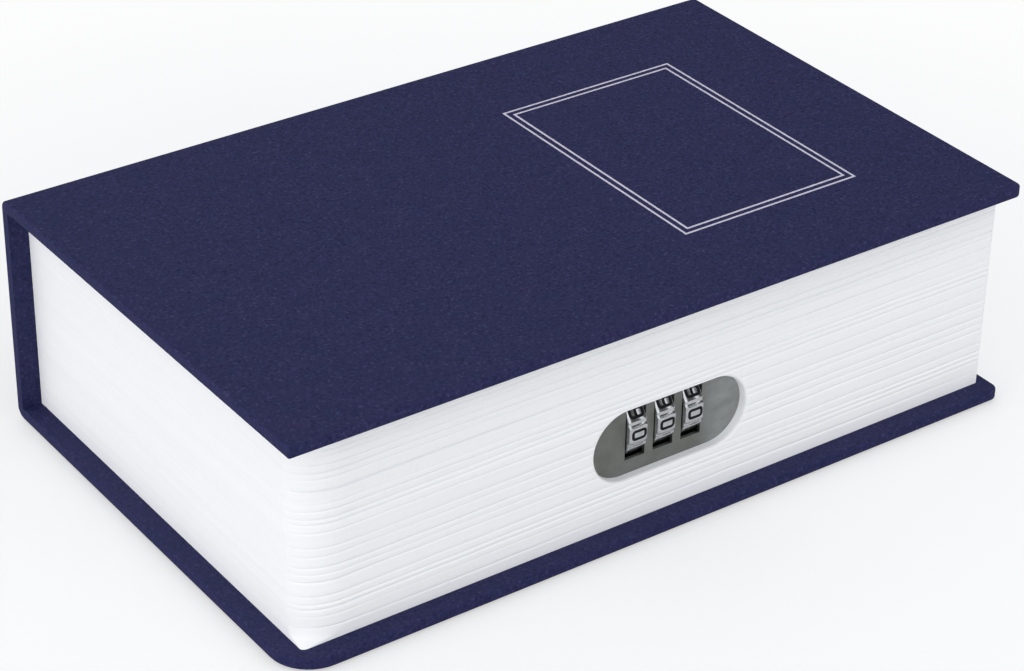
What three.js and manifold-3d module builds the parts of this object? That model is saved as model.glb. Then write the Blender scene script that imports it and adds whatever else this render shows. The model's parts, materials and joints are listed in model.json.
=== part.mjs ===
// A small book safe: a steel box with a three-wheel number lock, hidden in the case of a book.
// Millimetres. The book lies on its back cover. +X runs from its tail to its head, +Y points to the spine,
// -Y to the fore-edge with the lock, and +Z up.
// The origin is on the table under the middle of the closed book.

import * as THREE from 'three';
import { mergeVertices } from 'three/addons/utils/BufferGeometryUtils.js';
import Module from 'manifold-3d';

const wasm = await Module();
wasm.setup();

// Closed book
const BOOK_LENGTH = 180;
const BOOK_WIDTH = 112.5;
const BOOK_HEIGHT = 52.5;

// Case: boards wrapped in a skin, joined by cloth at the front joint
const COVER_THICKNESS = 2.5;
const SKIN_THICKNESS = 0.3;
const SKIN_TURN_IN = 15;
const CLOTH_THICKNESS = 0.5;
const FRONT_TAIL_CORNER = 1.2;
const FRONT_HEAD_CORNER = 1.2;
const BACK_TAIL_CORNER = 9;
const BACK_HEAD_CORNER = 3.5;
const SPINE_CORNER = 1.8;

// Page block
const FORE_OVERHANG = 4.5;
const TAIL_OVERHANG = 4.5;
const HEAD_OVERHANG = 2.5;
const BLOCK_WALL = 2;
const BLOCK_TAIL_CORNER = 4.5;
const BLOCK_HEAD_CORNER = 0.8;
const BLOCK_BASE_CORNER = 0.8;
const BLOCK_BASE_RISE = 3;
const PAGE_LINE_COUNT = 22;
const PAGE_LINE_WIDTH = 0.8;
const PAGE_LINE_DEPTH = 0.25;
const PAGE_LINE_WANDER = 0.4;
const PAGE_LINE_BEAT = 2.4;

// Steel box, lid and hinge
const STEEL = 0.8;
const BOX_BEND = 2.2;
const LID_FLANGE = 5;
const LID_OPENING_DEGREES = 105;
const PIN_RADIUS = 0.8;
const KNUCKLE_RADIUS = 1.7;
const KNUCKLE_COUNT = 5;

// Opening in the page block for the lock, from the middle of the wheels
const LOCK_OFFSET = 0.5;
const LOCK_HEIGHT = 22.3;
const OPENING_LENGTH = 38.4;
const OPENING_HEIGHT = 16.3;
const OPENING_SHIFT = 0.5;
const OPENING_DROP = 1.3;

// Lock plate
const PLATE_THICKNESS = 0.8;
const PLATE_RIM = 2.6;
const WINDOW_SIDE_GAP = 0.2;
const POST_RADIUS = 1.8;
const POST_LENGTH = 5.6;

// Number wheels
const WHEEL_RADIUS = 8;
const WHEEL_WIDTH = 4.6;
const WHEEL_PITCH = 7.1;
const WHEEL_SETBACK = 0.2;
const WHEEL_FACETS = 10;
const GROOVE_WIDTH = 1;
const GROOVE_DEPTH = 0.5;
const WHEEL_BEVEL = 0.35;
const WHEEL_BORE = 5;
const SPLINE_DEPTH = 0.9;
const SPLINE_THICKNESS = 0.8;
const SPLINE_WIDTH = 1.2;

// Clutch sleeves
const SLEEVE_RADIUS = 3.8;
const CAM_RADIUS = 5;
const CAM_NOTCH_WIDTH = 2.2;
const CAM_NOTCH_DEPTH = 1.5;
const KEY_HEIGHT = 0.8;
const KEY_INSET = 0.1;

// Spindle, clip and reset lever
const SPINDLE_RADIUS = 2;
const SPINDLE_END = 1;
const COLLAR_RADIUS = 2.9;
const COLLAR_THICKNESS = 0.9;
const CLIP_THICKNESS = 0.8;
const NECK_RADIUS = 1.25;
const LEVER_THICKNESS = 0.8;
const LEVER_HEIGHT = 5;
const LEVER_REACH = 3.6;
const LEVER_PAD_WIDTH = 3.2;
const RESET_TRAVEL = 0.9;

// Latch plate
const LATCH_THICKNESS = 1.2;
const LATCH_TRAVEL = 2.4;
const TOOTH_THICKNESS = 1;
const TOOTH_HEIGHT = 1.6;
const NOSE_WIDTH = 12;
const NOSE_THICKNESS = 1.6;
const NOSE_RISE = 0.7;
const EAR_HEIGHT = 4;
const LATCH_SKIRT = 1.6;

// Striker under the lid
const STRIKER_WIDTH = 16;
const STRIKER_THICKNESS = 1.2;
const STRIKER_FOOT = 10;
const LIP_THICKNESS = 1.2;
const LIP_BEVEL = 0.4;
const SWING_ROOM = 1.25;
const RIVET_RADIUS = 1.25;
const RIVET_HEAD_RADIUS = 2.2;
const RIVET_HEAD_HEIGHT = 0.7;
const RIVET_SPACING = 9;

// Lock body, its back cover and its screws
const BODY_WALL = 1.4;
const BODY_HEADROOM = 0.4;
const BODY_FOOTROOM = 1.7;
const BRACKET_THICKNESS = 1.2;
const BRACKET_HEIGHT = 6.8;
const BRACKET_DEPTH = 9;
const BOSS_RADIUS = 2.7;
const BOSS_MERGE = 0.3;
const BACK_COVER_THICKNESS = 1;
const SCREW_RADIUS = 0.9;
const SCREW_HEAD_RADIUS = 2.3;
const SCREW_HEAD_HEIGHT = 1.3;
const SCREW_SLOT = 0.6;

// Springs
const LATCH_COIL_RADIUS = 1.45;
const LATCH_WIRE = 0.6;
const LATCH_TURNS = 6;
const LATCH_COIL_LENGTH = 9;
const SEAT_PIN_RADIUS = 0.85;
const SPINDLE_COIL_RADIUS = 2.65;
const SPINDLE_WIRE = 0.5;
const SPINDLE_TURNS = 3.5;
const SPINDLE_COIL_SPACE = 4.7;
const CLICK_THICKNESS = 0.35;
const CLICK_FINGER_WIDTH = 3;
const CLICK_REACH = 5.2;
const CLICK_BASE = 4;
const CLICK_TIP = 1.1;

// Clearances
const FIT = 0.3;
const RUNNING_FIT = 0.15;
const CORNER_EASE = 0.7;

// Fineness of round shapes
const CORNER_STEPS = 6;
const ROUND_SIDES = 20;
const FINE_SIDES = 32;
const COIL_STEPS = 8;
const COIL_SIDES = 5;

// Planes of the book
const tailEnd = -BOOK_LENGTH / 2;
const headEnd = BOOK_LENGTH / 2;
const foreEdge = -BOOK_WIDTH / 2;
const spineFace = BOOK_WIDTH / 2;
const spineInner = spineFace - COVER_THICKNESS;
const frontInner = BOOK_HEIGHT - COVER_THICKNESS;
const blockTail = tailEnd + TAIL_OVERHANG;
const blockHead = headEnd - HEAD_OVERHANG;
const blockFore = foreEdge + FORE_OVERHANG;
const blockTop = frontInner - FIT;
const blockMiddle = (blockTail + blockHead) / 2;

// Hinge pin: the knuckles touch the plane of the spine's inner face and the plane of the lid's top
const pinY = spineInner - KNUCKLE_RADIUS;
const pinZ = blockTop - KNUCKLE_RADIUS;
const openAngle = THREE.MathUtils.degToRad(LID_OPENING_DEGREES);
const coverEnd = pinY - FIT;
// The opened cover's lower corner swings to this height, and the spine board stops below it
const coverLow = pinZ + FIT * Math.sin(openAngle) + (BOOK_HEIGHT - pinZ) * Math.cos(openAngle);
const spineTop = coverLow - FIT;

// Planes through the lock, front to back
const plateFront = blockFore + BLOCK_WALL;
const plateBack = plateFront + PLATE_THICKNESS;
const boxFore = plateBack;
const bodyFront = boxFore + STEEL;
const wheelX = [-1, 0, 1].map((place) => blockMiddle + LOCK_OFFSET + place * WHEEL_PITCH);
const wheelY = blockFore + WHEEL_SETBACK + WHEEL_RADIUS;
const wheelZ = LOCK_HEIGHT;
const lockX = wheelX[1];
const latchFront = wheelY + WHEEL_RADIUS + FIT + LATCH_TRAVEL;
const latchBack = latchFront + LATCH_THICKNESS;
const bodyBack = latchBack + FIT;
const backCoverOuter = bodyBack + BACK_COVER_THICKNESS;
const lipTip = backCoverOuter + SWING_ROOM;
const noseTip = backCoverOuter + LATCH_TRAVEL;
const stripFront = noseTip + FIT;
const stripBack = stripFront + STRIKER_THICKNESS;
const rivetY = stripBack + STRIKER_FOOT / 2;
const springSeat = latchFront - LATCH_COIL_LENGTH;

// Stack along the spindle, from the middle wheel outwards
const wheelGap = WHEEL_PITCH - WHEEL_WIDTH;
const camThickness = wheelGap - RESET_TRAVEL - 2 * FIT;
const sleeveEnd = WHEEL_WIDTH / 2 + FIT + camThickness;
const sleeveStart = sleeveEnd - WHEEL_PITCH + FIT;
const sleevesTail = wheelX[0] + sleeveStart;
const sleevesHead = wheelX[2] + sleeveEnd;
// Span that the sleeves sweep along the spindle, kept open in the front walls
const sweptSpan = [sleevesTail - FIT, sleevesHead + RESET_TRAVEL + FIT];
const collarHead = sleevesTail - FIT;
const collarTail = collarHead - COLLAR_THICKNESS;
const bracketHead = collarTail - FIT;
const bracketTail = bracketHead - BRACKET_THICKNESS;
const leverHead = bracketTail - RESET_TRAVEL - FIT;
const leverTail = leverHead - LEVER_THICKNESS;
const spindleTail = leverTail - FIT - SPINDLE_END;
const clipTail = sleevesHead + FIT;
const clipHead = clipTail + CLIP_THICKNESS;
const cavityHalf = Math.max(lockX - spindleTail + FIT, clipHead - lockX + SPINDLE_COIL_SPACE);
const bodyHalf = cavityHalf + BODY_WALL;
const springX = cavityHalf - FIT - EAR_HEIGHT / 2;
const spindleHead = lockX + cavityHalf + BODY_WALL - RESET_TRAVEL;

// Heights in the lock
const wheelTop = wheelZ + WHEEL_RADIUS;
const noseBottom = wheelTop + NOSE_RISE;
const noseTop = noseBottom + NOSE_THICKNESS;
const cavityTop = noseTop + BODY_HEADROOM;
const cavityBottom = wheelZ - WHEEL_RADIUS - BODY_FOOTROOM;
const bodyTop = cavityTop + BODY_WALL;
const bodyBottom = cavityBottom - BODY_WALL;
const postX = cavityHalf - BOSS_RADIUS + BOSS_MERGE;
const postZ = cavityBottom + BOSS_RADIUS - BOSS_MERGE;
const postEnd = plateBack + POST_LENGTH;
const earZ = cavityTop - FIT - EAR_HEIGHT / 2;
const lipTop = noseBottom - FIT;
const lipBottom = lipTop - LIP_THICKNESS;

// Steel box and lid inside the page block
const boxTail = blockTail + BLOCK_WALL + FIT;
const boxHead = blockHead - BLOCK_WALL - FIT;
const boxFloor = COVER_THICKNESS;
const boxTop = blockTop - FIT;
const lidUnder = blockTop - STEEL;
const lidTail = boxTail + STEEL + FIT;
const lidHead = boxHead - STEEL - FIT;
const lidFore = boxFore + STEEL + FIT;

const navySkin = new THREE.MeshStandardMaterial({ color: 0x303252, roughness: 0.75, metalness: 0 });
const navyCloth = new THREE.MeshStandardMaterial({ color: 0x2e3050, roughness: 0.8, metalness: 0 });
const greyBoard = new THREE.MeshStandardMaterial({ color: 0x9a917f, roughness: 0.9, metalness: 0 });
const adhesive = new THREE.MeshStandardMaterial({ color: 0xd8d2b8, roughness: 0.6, metalness: 0 });
const whitePlastic = new THREE.MeshStandardMaterial({ color: 0xe9eaef, roughness: 0.5, metalness: 0 });
const blackSteel = new THREE.MeshStandardMaterial({ color: 0x23252b, roughness: 0.6, metalness: 0.4 });
const plateMetal = new THREE.MeshStandardMaterial({ color: 0x696a66, roughness: 0.45, metalness: 0.8 });
const chrome = new THREE.MeshStandardMaterial({ color: 0xd4d7da, roughness: 0.12, metalness: 1 });
const plainSteel = new THREE.MeshStandardMaterial({ color: 0xb4b6b8, roughness: 0.3, metalness: 1 });
const brassMetal = new THREE.MeshStandardMaterial({ color: 0xb99a55, roughness: 0.35, metalness: 1 });
const blackPlastic = new THREE.MeshStandardMaterial({ color: 0x1b1c1f, roughness: 0.55, metalness: 0 });

// A closed three.js geometry as a solid that can be cut and joined
function solid(geometry) {
  const bare = new THREE.BufferGeometry();
  bare.setAttribute('position', geometry.attributes.position);
  bare.setIndex(geometry.index);
  const merged = mergeVertices(bare);
  return new wasm.Manifold(new wasm.Mesh({
    numProp: 3,
    vertProperties: new Float32Array(merged.attributes.position.array),
    triVerts: new Uint32Array(merged.index.array),
  }));
}

function join(first, ...others) {
  return others.reduce((whole, other) => whole.add(other), first);
}

function cut(first, ...others) {
  return others.reduce((rest, other) => rest.subtract(other), first);
}

function addMesh(parent, name, shape, material, place = [0, 0, 0]) {
  const data = shape.getMesh();
  const geometry = new THREE.BufferGeometry();
  geometry.setAttribute('position', new THREE.BufferAttribute(new Float32Array(data.vertProperties), 3));
  geometry.setIndex(new THREE.BufferAttribute(new Uint32Array(data.triVerts), 1));
  geometry.computeVertexNormals();
  const mesh = new THREE.Mesh(geometry, material);
  mesh.name = name;
  mesh.position.set(...place);
  parent.add(mesh);
}

function block(x0, x1, y0, y1, z0, z1) {
  const geometry = new THREE.BoxGeometry(x1 - x0, y1 - y0, z1 - z0);
  geometry.translate((x0 + x1) / 2, (y0 + y1) / 2, (z0 + z1) / 2);
  return solid(geometry);
}

function rodX(radius, x0, x1, y, z, sides = ROUND_SIDES) {
  const geometry = new THREE.CylinderGeometry(radius, radius, x1 - x0, sides);
  geometry.rotateZ(Math.PI / 2);
  geometry.translate((x0 + x1) / 2, y, z);
  return solid(geometry);
}

function rodY(radius, y0, y1, x, z, sides = ROUND_SIDES) {
  const geometry = new THREE.CylinderGeometry(radius, radius, y1 - y0, sides);
  geometry.translate(x, (y0 + y1) / 2, z);
  return solid(geometry);
}

function rodZ(radius, z0, z1, x, y, sides = ROUND_SIDES) {
  const geometry = new THREE.CylinderGeometry(radius, radius, z1 - z0, sides);
  geometry.rotateX(Math.PI / 2);
  geometry.translate(x, y, (z0 + z1) / 2);
  return solid(geometry);
}

function extruded(shape, depth) {
  return new THREE.ExtrudeGeometry(shape, { depth, bevelEnabled: false, curveSegments: CORNER_STEPS });
}

// An outline in X and Y, raised from z0 to z1
function prismZ(shape, z0, z1) {
  const geometry = extruded(shape, z1 - z0);
  geometry.translate(0, 0, z0);
  return solid(geometry);
}

// An outline in Y and Z, drawn out from x0 to x1
function prismX(shape, x0, x1) {
  const geometry = extruded(shape, x1 - x0);
  const turn = new THREE.Matrix4();
  turn.makeBasis(new THREE.Vector3(0, 1, 0), new THREE.Vector3(0, 0, 1), new THREE.Vector3(1, 0, 0));
  geometry.applyMatrix4(turn);
  geometry.translate(x0, 0, 0);
  return solid(geometry);
}

// An outline in X and Z, drawn out from y0 to y1
function prismY(shape, y0, y1) {
  const geometry = extruded(shape, y1 - y0);
  geometry.rotateX(Math.PI / 2);
  geometry.translate(0, y1, 0);
  return solid(geometry);
}

function outline(points) {
  return new THREE.Shape(points.map(([u, v]) => new THREE.Vector2(u, v)));
}

// A rectangle with its own radius at each corner: low-low, high-low, high-high, low-high
function roundedRectangle(u0, u1, v0, v1, [ll, hl, hh, lh]) {
  const shape = new THREE.Shape();
  const quarter = Math.PI / 2;
  shape.moveTo(u0 + ll, v0);
  shape.lineTo(u1 - hl, v0);
  if (hl > 0) shape.absarc(u1 - hl, v0 + hl, hl, -quarter, 0);
  shape.lineTo(u1, v1 - hh);
  if (hh > 0) shape.absarc(u1 - hh, v1 - hh, hh, 0, quarter);
  shape.lineTo(u0 + lh, v1);
  if (lh > 0) shape.absarc(u0 + lh, v1 - lh, lh, quarter, 2 * quarter);
  shape.lineTo(u0, v0 + ll);
  if (ll > 0) shape.absarc(u0 + ll, v0 + ll, ll, 2 * quarter, 3 * quarter);
  return shape;
}

// A closed solid through a stack of loops with as many points each, turning left seen from its end
function loftedSolid(loops) {
  const count = loops[0].length;
  const positions = loops.flat().flatMap((point) => point.toArray());
  const index = [];
  for (let level = 0; level + 1 < loops.length; level += 1) {
    for (let i = 0; i < count; i += 1) {
      const a = level * count + i;
      const b = level * count + ((i + 1) % count);
      index.push(a, b, b + count, a, b + count, a + count);
    }
  }
  const middle = (loop) => loop.reduce((sum, p) => sum.add(p), new THREE.Vector3()).divideScalar(count);
  const firstMiddle = loops.length * count;
  positions.push(...middle(loops[0]).toArray(), ...middle(loops[loops.length - 1]).toArray());
  const last = (loops.length - 1) * count;
  for (let i = 0; i < count; i += 1) {
    const next = (i + 1) % count;
    index.push(firstMiddle, next, i);
    index.push(firstMiddle + 1, last + i, last + next);
  }
  const geometry = new THREE.BufferGeometry();
  geometry.setAttribute('position', new THREE.Float32BufferAttribute(positions, 3));
  geometry.setIndex(index);
  return solid(geometry);
}

// A coil spring along +X from the origin, as one tube
function coil(length, radius, wire, turns) {
  const steps = Math.round(turns * COIL_STEPS);
  const rise = length - wire;
  const centres = [];
  const positions = [];
  for (let step = 0; step <= steps; step += 1) {
    const share = step / steps;
    const angle = share * turns * 2 * Math.PI;
    const radial = new THREE.Vector3(0, Math.cos(angle), Math.sin(angle));
    const along = new THREE.Vector3(rise / (turns * 2 * Math.PI), 0, 0);
    const tangent = new THREE.Vector3(0, -Math.sin(angle), Math.cos(angle)).multiplyScalar(radius);
    tangent.add(along).normalize();
    const side = new THREE.Vector3().crossVectors(tangent, radial);
    const centre = radial.clone().multiplyScalar(radius);
    centre.x = wire / 2 + share * rise;
    centres.push(centre);
    for (let corner = 0; corner < COIL_SIDES; corner += 1) {
      const turn = (corner / COIL_SIDES) * 2 * Math.PI;
      const point = centre.clone();
      point.addScaledVector(radial, Math.cos(turn) * wire / 2);
      point.addScaledVector(side, Math.sin(turn) * wire / 2);
      positions.push(...point.toArray());
    }
  }
  const index = [];
  for (let step = 0; step < steps; step += 1) {
    for (let corner = 0; corner < COIL_SIDES; corner += 1) {
      const a = step * COIL_SIDES + corner;
      const b = step * COIL_SIDES + ((corner + 1) % COIL_SIDES);
      index.push(a, b, b + COIL_SIDES, a, b + COIL_SIDES, a + COIL_SIDES);
    }
  }
  const last = steps * COIL_SIDES;
  for (let corner = 1; corner + 1 < COIL_SIDES; corner += 1) {
    index.push(0, corner + 1, corner);
    index.push(last, last + corner, last + corner + 1);
  }
  let least = Infinity;
  for (let i = 0; i < centres.length; i += 1) {
    for (let j = i + COIL_STEPS / 2; j < centres.length; j += 1) {
      least = Math.min(least, centres[i].distanceTo(centres[j]) - wire);
    }
  }
  console.log(`coil of ${turns} turns: least gap to itself ${least.toFixed(2)} mm`);
  const geometry = new THREE.BufferGeometry();
  geometry.setAttribute('position', new THREE.Float32BufferAttribute(positions, 3));
  geometry.setIndex(index);
  return solid(geometry);
}

// Case

// Outline of a cover in plan, drawn in by an inset
function coverOutline(inset, spineSide, tailCorner, headCorner) {
  const soften = (radius) => Math.max(radius - inset, 0);
  return roundedRectangle(
    tailEnd + inset, headEnd - inset, foreEdge + inset, spineSide - inset,
    [soften(tailCorner), soften(headCorner), 0, 0],
  );
}

// One cover: its board, the skin round it and the sheet of adhesive in the skin's window.
// outer is the height of its outer face, and inward is +1 or -1, the way to its inner face.
function buildCover(group, names, outer, inward, spineSide, tailCorner, headCorner, adhesiveEnd) {
  const slab = (shape, from, to) => {
    const heights = [outer + inward * from, outer + inward * to];
    return prismZ(shape, Math.min(...heights), Math.max(...heights));
  };
  const cavityOutline = coverOutline(SKIN_THICKNESS, spineSide, tailCorner, headCorner);
  const eased = (corner) => corner + CORNER_EASE;
  const boardOutline = coverOutline(SKIN_THICKNESS, spineSide, eased(tailCorner), eased(headCorner));
  const windowOutline = coverOutline(SKIN_TURN_IN, spineSide, 0, 0);
  const sheetOutline = coverOutline(SKIN_TURN_IN + FIT, spineSide, 0, 0);
  const boardEnd = COVER_THICKNESS - SKIN_THICKNESS;
  const skin = cut(
    slab(coverOutline(0, spineSide, tailCorner, headCorner), 0, COVER_THICKNESS),
    slab(cavityOutline, SKIN_THICKNESS, boardEnd),
    slab(windowOutline, COVER_THICKNESS / 2, COVER_THICKNESS + FIT),
  );
  addMesh(group, names.skin, skin, navySkin);
  addMesh(group, names.board, slab(boardOutline, SKIN_THICKNESS, boardEnd), greyBoard);
  addMesh(group, names.adhesive, slab(sheetOutline, boardEnd, adhesiveEnd), adhesive);
}

function buildSpine(group) {
  const shell = roundedRectangle(spineInner, spineFace, 0, spineTop, [0, SPINE_CORNER, 0, 0]);
  const boardX = [tailEnd + SKIN_THICKNESS, headEnd - SKIN_THICKNESS];
  const boardSpan = [spineInner + SKIN_THICKNESS, spineFace - SKIN_THICKNESS];
  const boardTop = spineTop - SKIN_THICKNESS;
  const board = block(...boardX, ...boardSpan, COVER_THICKNESS, boardTop);
  const windowX = [tailEnd + SKIN_TURN_IN, headEnd - SKIN_TURN_IN];
  const windowZ = [COVER_THICKNESS + FIT, boardTop - FIT];
  const skin = cut(
    prismX(shell, tailEnd, headEnd),
    board,
    block(...windowX, spineInner - FIT, (spineInner + spineFace) / 2, ...windowZ),
  );
  addMesh(group, 'spine_skin', skin, navySkin);
  addMesh(group, 'spine_board', board, greyBoard);
  const sheetX = [boxTail + SKIN_TURN_IN, boxHead - SKIN_TURN_IN];
  const sheetZ = [windowZ[0] + FIT, windowZ[1] - FIT];
  addMesh(group, 'spine_adhesive', block(...sheetX, spineInner, boardSpan[0], ...sheetZ), adhesive);
}

// The cloth joint turns the corner from the spine to the front cover. It is thin along the box,
// and folded over to the full thickness of the covers where they stand past the page block.
function buildHingeCloth(group) {
  const outer = roundedRectangle(coverEnd, spineFace, spineTop, BOOK_HEIGHT, [0, 0, SPINE_CORNER, 0]);
  const hollow = roundedRectangle(
    coverEnd - FIT, spineFace - CLOTH_THICKNESS, spineTop - FIT, BOOK_HEIGHT - CLOTH_THICKNESS,
    [0, 0, Math.max(SPINE_CORNER - CLOTH_THICKNESS, 0), 0],
  );
  const corner = [coverEnd - FIT, spineInner, spineTop - FIT, frontInner];
  const cloth = cut(
    prismX(outer, tailEnd, headEnd),
    prismX(hollow, blockTail - FIT, blockHead + FIT),
    block(tailEnd - FIT, headEnd + FIT, ...corner),
  );
  addMesh(group, 'hinge_cloth', cloth, navyCloth);
}

// Page block and steel box

// What is taken off the side walls over the pin, so that the cover's inner face can swing past them
function swingCut() {
  const corner = block(tailEnd, headEnd, pinY, spineFace, pinZ, BOOK_HEIGHT);
  return corner.subtract(rodX(KNUCKLE_RADIUS, tailEnd - FIT, headEnd + FIT, pinY, pinZ, FINE_SIDES));
}

// Heights of the page lines, evenly shared out and then moved a little up or down
function pageLineHeights() {
  const pitch = (blockTop - COVER_THICKNESS) / PAGE_LINE_COUNT;
  return Array.from({ length: PAGE_LINE_COUNT }, (_, i) => {
    const wander = PAGE_LINE_WANDER * Math.sin(i * PAGE_LINE_BEAT);
    return COVER_THICKNESS + (i + 1 / 2) * pitch + wander;
  });
}

// Outside of the page block at one height, drawn in on its three page sides.
// The upright edge at the tail is rounded, and grows sharp down to the back cover.
function pageLoop(z, inset) {
  const points = [];
  const rise = Math.min((z - COVER_THICKNESS) / BLOCK_BASE_RISE, 1);
  const tailCorner = THREE.MathUtils.lerp(BLOCK_BASE_CORNER, BLOCK_TAIL_CORNER, Math.sqrt(rise));
  const edges = [[blockTail + tailCorner, tailCorner], [blockHead - BLOCK_HEAD_CORNER, BLOCK_HEAD_CORNER]];
  edges.forEach(([x, corner], turn) => {
    for (let step = 0; step <= CORNER_STEPS; step += 1) {
      const angle = Math.PI + (turn + step / CORNER_STEPS) * (Math.PI / 2);
      const radius = corner - inset;
      points.push(new THREE.Vector3(
        x + radius * Math.cos(angle), blockFore + corner + radius * Math.sin(angle), z,
      ));
    }
  });
  points.push(new THREE.Vector3(blockHead - inset, spineInner, z));
  points.push(new THREE.Vector3(blockTail + inset, spineInner, z));
  return points;
}

function buildPageBlock(group) {
  const loops = [pageLoop(COVER_THICKNESS, 0)];
  for (const height of pageLineHeights()) {
    loops.push(pageLoop(height - PAGE_LINE_WIDTH / 2, 0));
    loops.push(pageLoop(height, PAGE_LINE_DEPTH));
    loops.push(pageLoop(height + PAGE_LINE_WIDTH / 2, 0));
  }
  loops.push(pageLoop(blockTop, 0));
  const corners = [BLOCK_TAIL_CORNER, BLOCK_HEAD_CORNER];
  const innerCorners = corners.map((corner) => Math.max(corner - BLOCK_WALL, 0));
  const inside = roundedRectangle(
    blockTail + BLOCK_WALL, blockHead - BLOCK_WALL, blockFore + BLOCK_WALL, spineInner + BLOCK_WALL,
    [...innerCorners, 0, 0],
  );
  const half = [OPENING_LENGTH / 2, OPENING_HEIGHT / 2];
  const middle = [lockX + OPENING_SHIFT, wheelZ - OPENING_DROP];
  const opening = roundedRectangle(
    middle[0] - half[0], middle[0] + half[0], middle[1] - half[1], middle[1] + half[1],
    [half[1], half[1], half[1], half[1]],
  );
  const shell = cut(
    loftedSolid(loops),
    prismZ(inside, 0, BOOK_HEIGHT),
    prismY(opening, blockFore - FIT, plateFront + FIT),
    swingCut(),
  );
  addMesh(group, 'page_block', shell, whitePlastic);
}

// Places of the hinge knuckles along X, tail to head
function knuckleSpans() {
  const first = boxTail + STEEL + FIT;
  const last = boxHead - STEEL - FIT;
  const length = (last - first + FIT) / KNUCKLE_COUNT;
  return Array.from({ length: KNUCKLE_COUNT }, (_, i) => {
    const start = first + i * length;
    return [start, start + length - FIT];
  });
}

function knuckle([x0, x1]) {
  return rodX(KNUCKLE_RADIUS, x0, x1, pinY, pinZ, FINE_SIDES);
}

function buildBox(group) {
  const bend = [BOX_BEND, BOX_BEND, 0, 0];
  const insideBend = bend.map((radius) => Math.max(radius - STEEL, 0));
  const outside = roundedRectangle(boxTail, boxHead, boxFore, spineInner, bend);
  const inside = roundedRectangle(
    boxTail + STEEL, boxHead - STEEL, boxFore + STEEL, spineInner - STEEL, insideBend,
  );
  const wallSpan = [spineInner - STEEL - FIT, spineInner + FIT];
  const innerSpan = [boxTail + STEEL, boxHead - STEEL];
  const wheelsReach = Math.sqrt(WHEEL_RADIUS ** 2 - (wheelY - bodyFront) ** 2) + FIT;
  const through = [boxFore - FIT, bodyFront + FIT];
  let box = cut(
    prismZ(outside, boxFloor, boxTop),
    prismZ(inside, boxFloor + STEEL, BOOK_HEIGHT),
    block(...innerSpan, ...wallSpan, pinZ, BOOK_HEIGHT),
    swingCut(),
    block(...sweptSpan, ...through, wheelZ - wheelsReach, wheelZ + wheelsReach),
    rodY(POST_RADIUS + FIT, ...through, lockX - postX, postZ),
    rodY(POST_RADIUS + FIT, ...through, lockX + postX, postZ),
  );
  const slotBottom = pinZ - KNUCKLE_RADIUS - FIT;
  knuckleSpans().forEach((span, i) => {
    if (i % 2 === 0) box = box.add(knuckle(span));
    else box = box.subtract(block(span[0] - FIT, span[1] + FIT, ...wallSpan, slotBottom, BOOK_HEIGHT));
  });
  const bore = PIN_RADIUS + RUNNING_FIT;
  box = box.subtract(rodX(bore, innerSpan[0], innerSpan[1], pinY, pinZ));
  addMesh(group, 'box_tray', box, blackSteel);
  const pin = rodX(PIN_RADIUS, innerSpan[0] + FIT, innerSpan[1] - FIT, pinY, pinZ);
  addMesh(group, 'hinge_pin', pin, plainSteel);
}

function buildLid(group) {
  const bend = [BOX_BEND, BOX_BEND, 0, 0];
  const insideBend = bend.map((radius) => Math.max(radius - STEEL, 0));
  const edge = pinY - KNUCKLE_RADIUS - FIT;
  const outside = roundedRectangle(lidTail, lidHead, lidFore, edge, bend);
  const inside = roundedRectangle(
    lidTail + STEEL, lidHead - STEEL, lidFore + STEEL, edge + STEEL, insideBend,
  );
  let lid = cut(
    prismZ(outside, blockTop - LID_FLANGE, blockTop),
    prismZ(inside, 0, lidUnder),
  );
  knuckleSpans().forEach((span, i) => {
    if (i % 2 === 1) lid = join(lid, block(...span, edge - FIT, pinY, lidUnder, blockTop), knuckle(span));
  });
  lid = lid.subtract(rodX(PIN_RADIUS + RUNNING_FIT, tailEnd, headEnd, pinY, pinZ));
  for (const x of rivetPlaces()) {
    lid = lid.subtract(rodZ(RIVET_RADIUS + FIT, lidUnder - FIT, blockTop + FIT, x, rivetY));
  }
  addMesh(group, 'lid_panel', lid, blackSteel);
}

// Striker

function rivetPlaces() {
  return [lockX - RIVET_SPACING / 2, lockX + RIVET_SPACING / 2];
}

function buildStriker(group) {
  const footBottom = lidUnder - STRIKER_THICKNESS;
  const profile = outline([
    [lipTip, lipBottom + LIP_BEVEL],
    [lipTip + LIP_BEVEL, lipBottom],
    [stripBack, lipBottom],
    [stripBack, footBottom],
    [stripBack + STRIKER_FOOT, footBottom],
    [stripBack + STRIKER_FOOT, lidUnder],
    [stripFront, lidUnder],
    [stripFront, lipTop],
    [lipTip + LIP_BEVEL, lipTop],
    [lipTip, lipTop - LIP_BEVEL],
  ]);
  let striker = prismX(profile, lockX - STRIKER_WIDTH / 2, lockX + STRIKER_WIDTH / 2);
  for (const x of rivetPlaces()) {
    striker = striker.subtract(rodZ(RIVET_RADIUS + FIT, footBottom - FIT, lidUnder + FIT, x, rivetY));
  }
  addMesh(group, 'striker', striker, plainSteel);
  const rivet = join(
    rodZ(RIVET_HEAD_RADIUS, footBottom - RIVET_HEAD_HEIGHT, footBottom, 0, 0),
    rodZ(RIVET_RADIUS, footBottom - RIVET_HEAD_HEIGHT / 2, blockTop, 0, 0),
  );
  ['tail', 'head'].forEach((end, i) => {
    addMesh(group, `striker_rivet_${end}`, rivet, plainSteel, [rivetPlaces()[i], rivetY, 0]);
  });
}

// Lock

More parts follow.
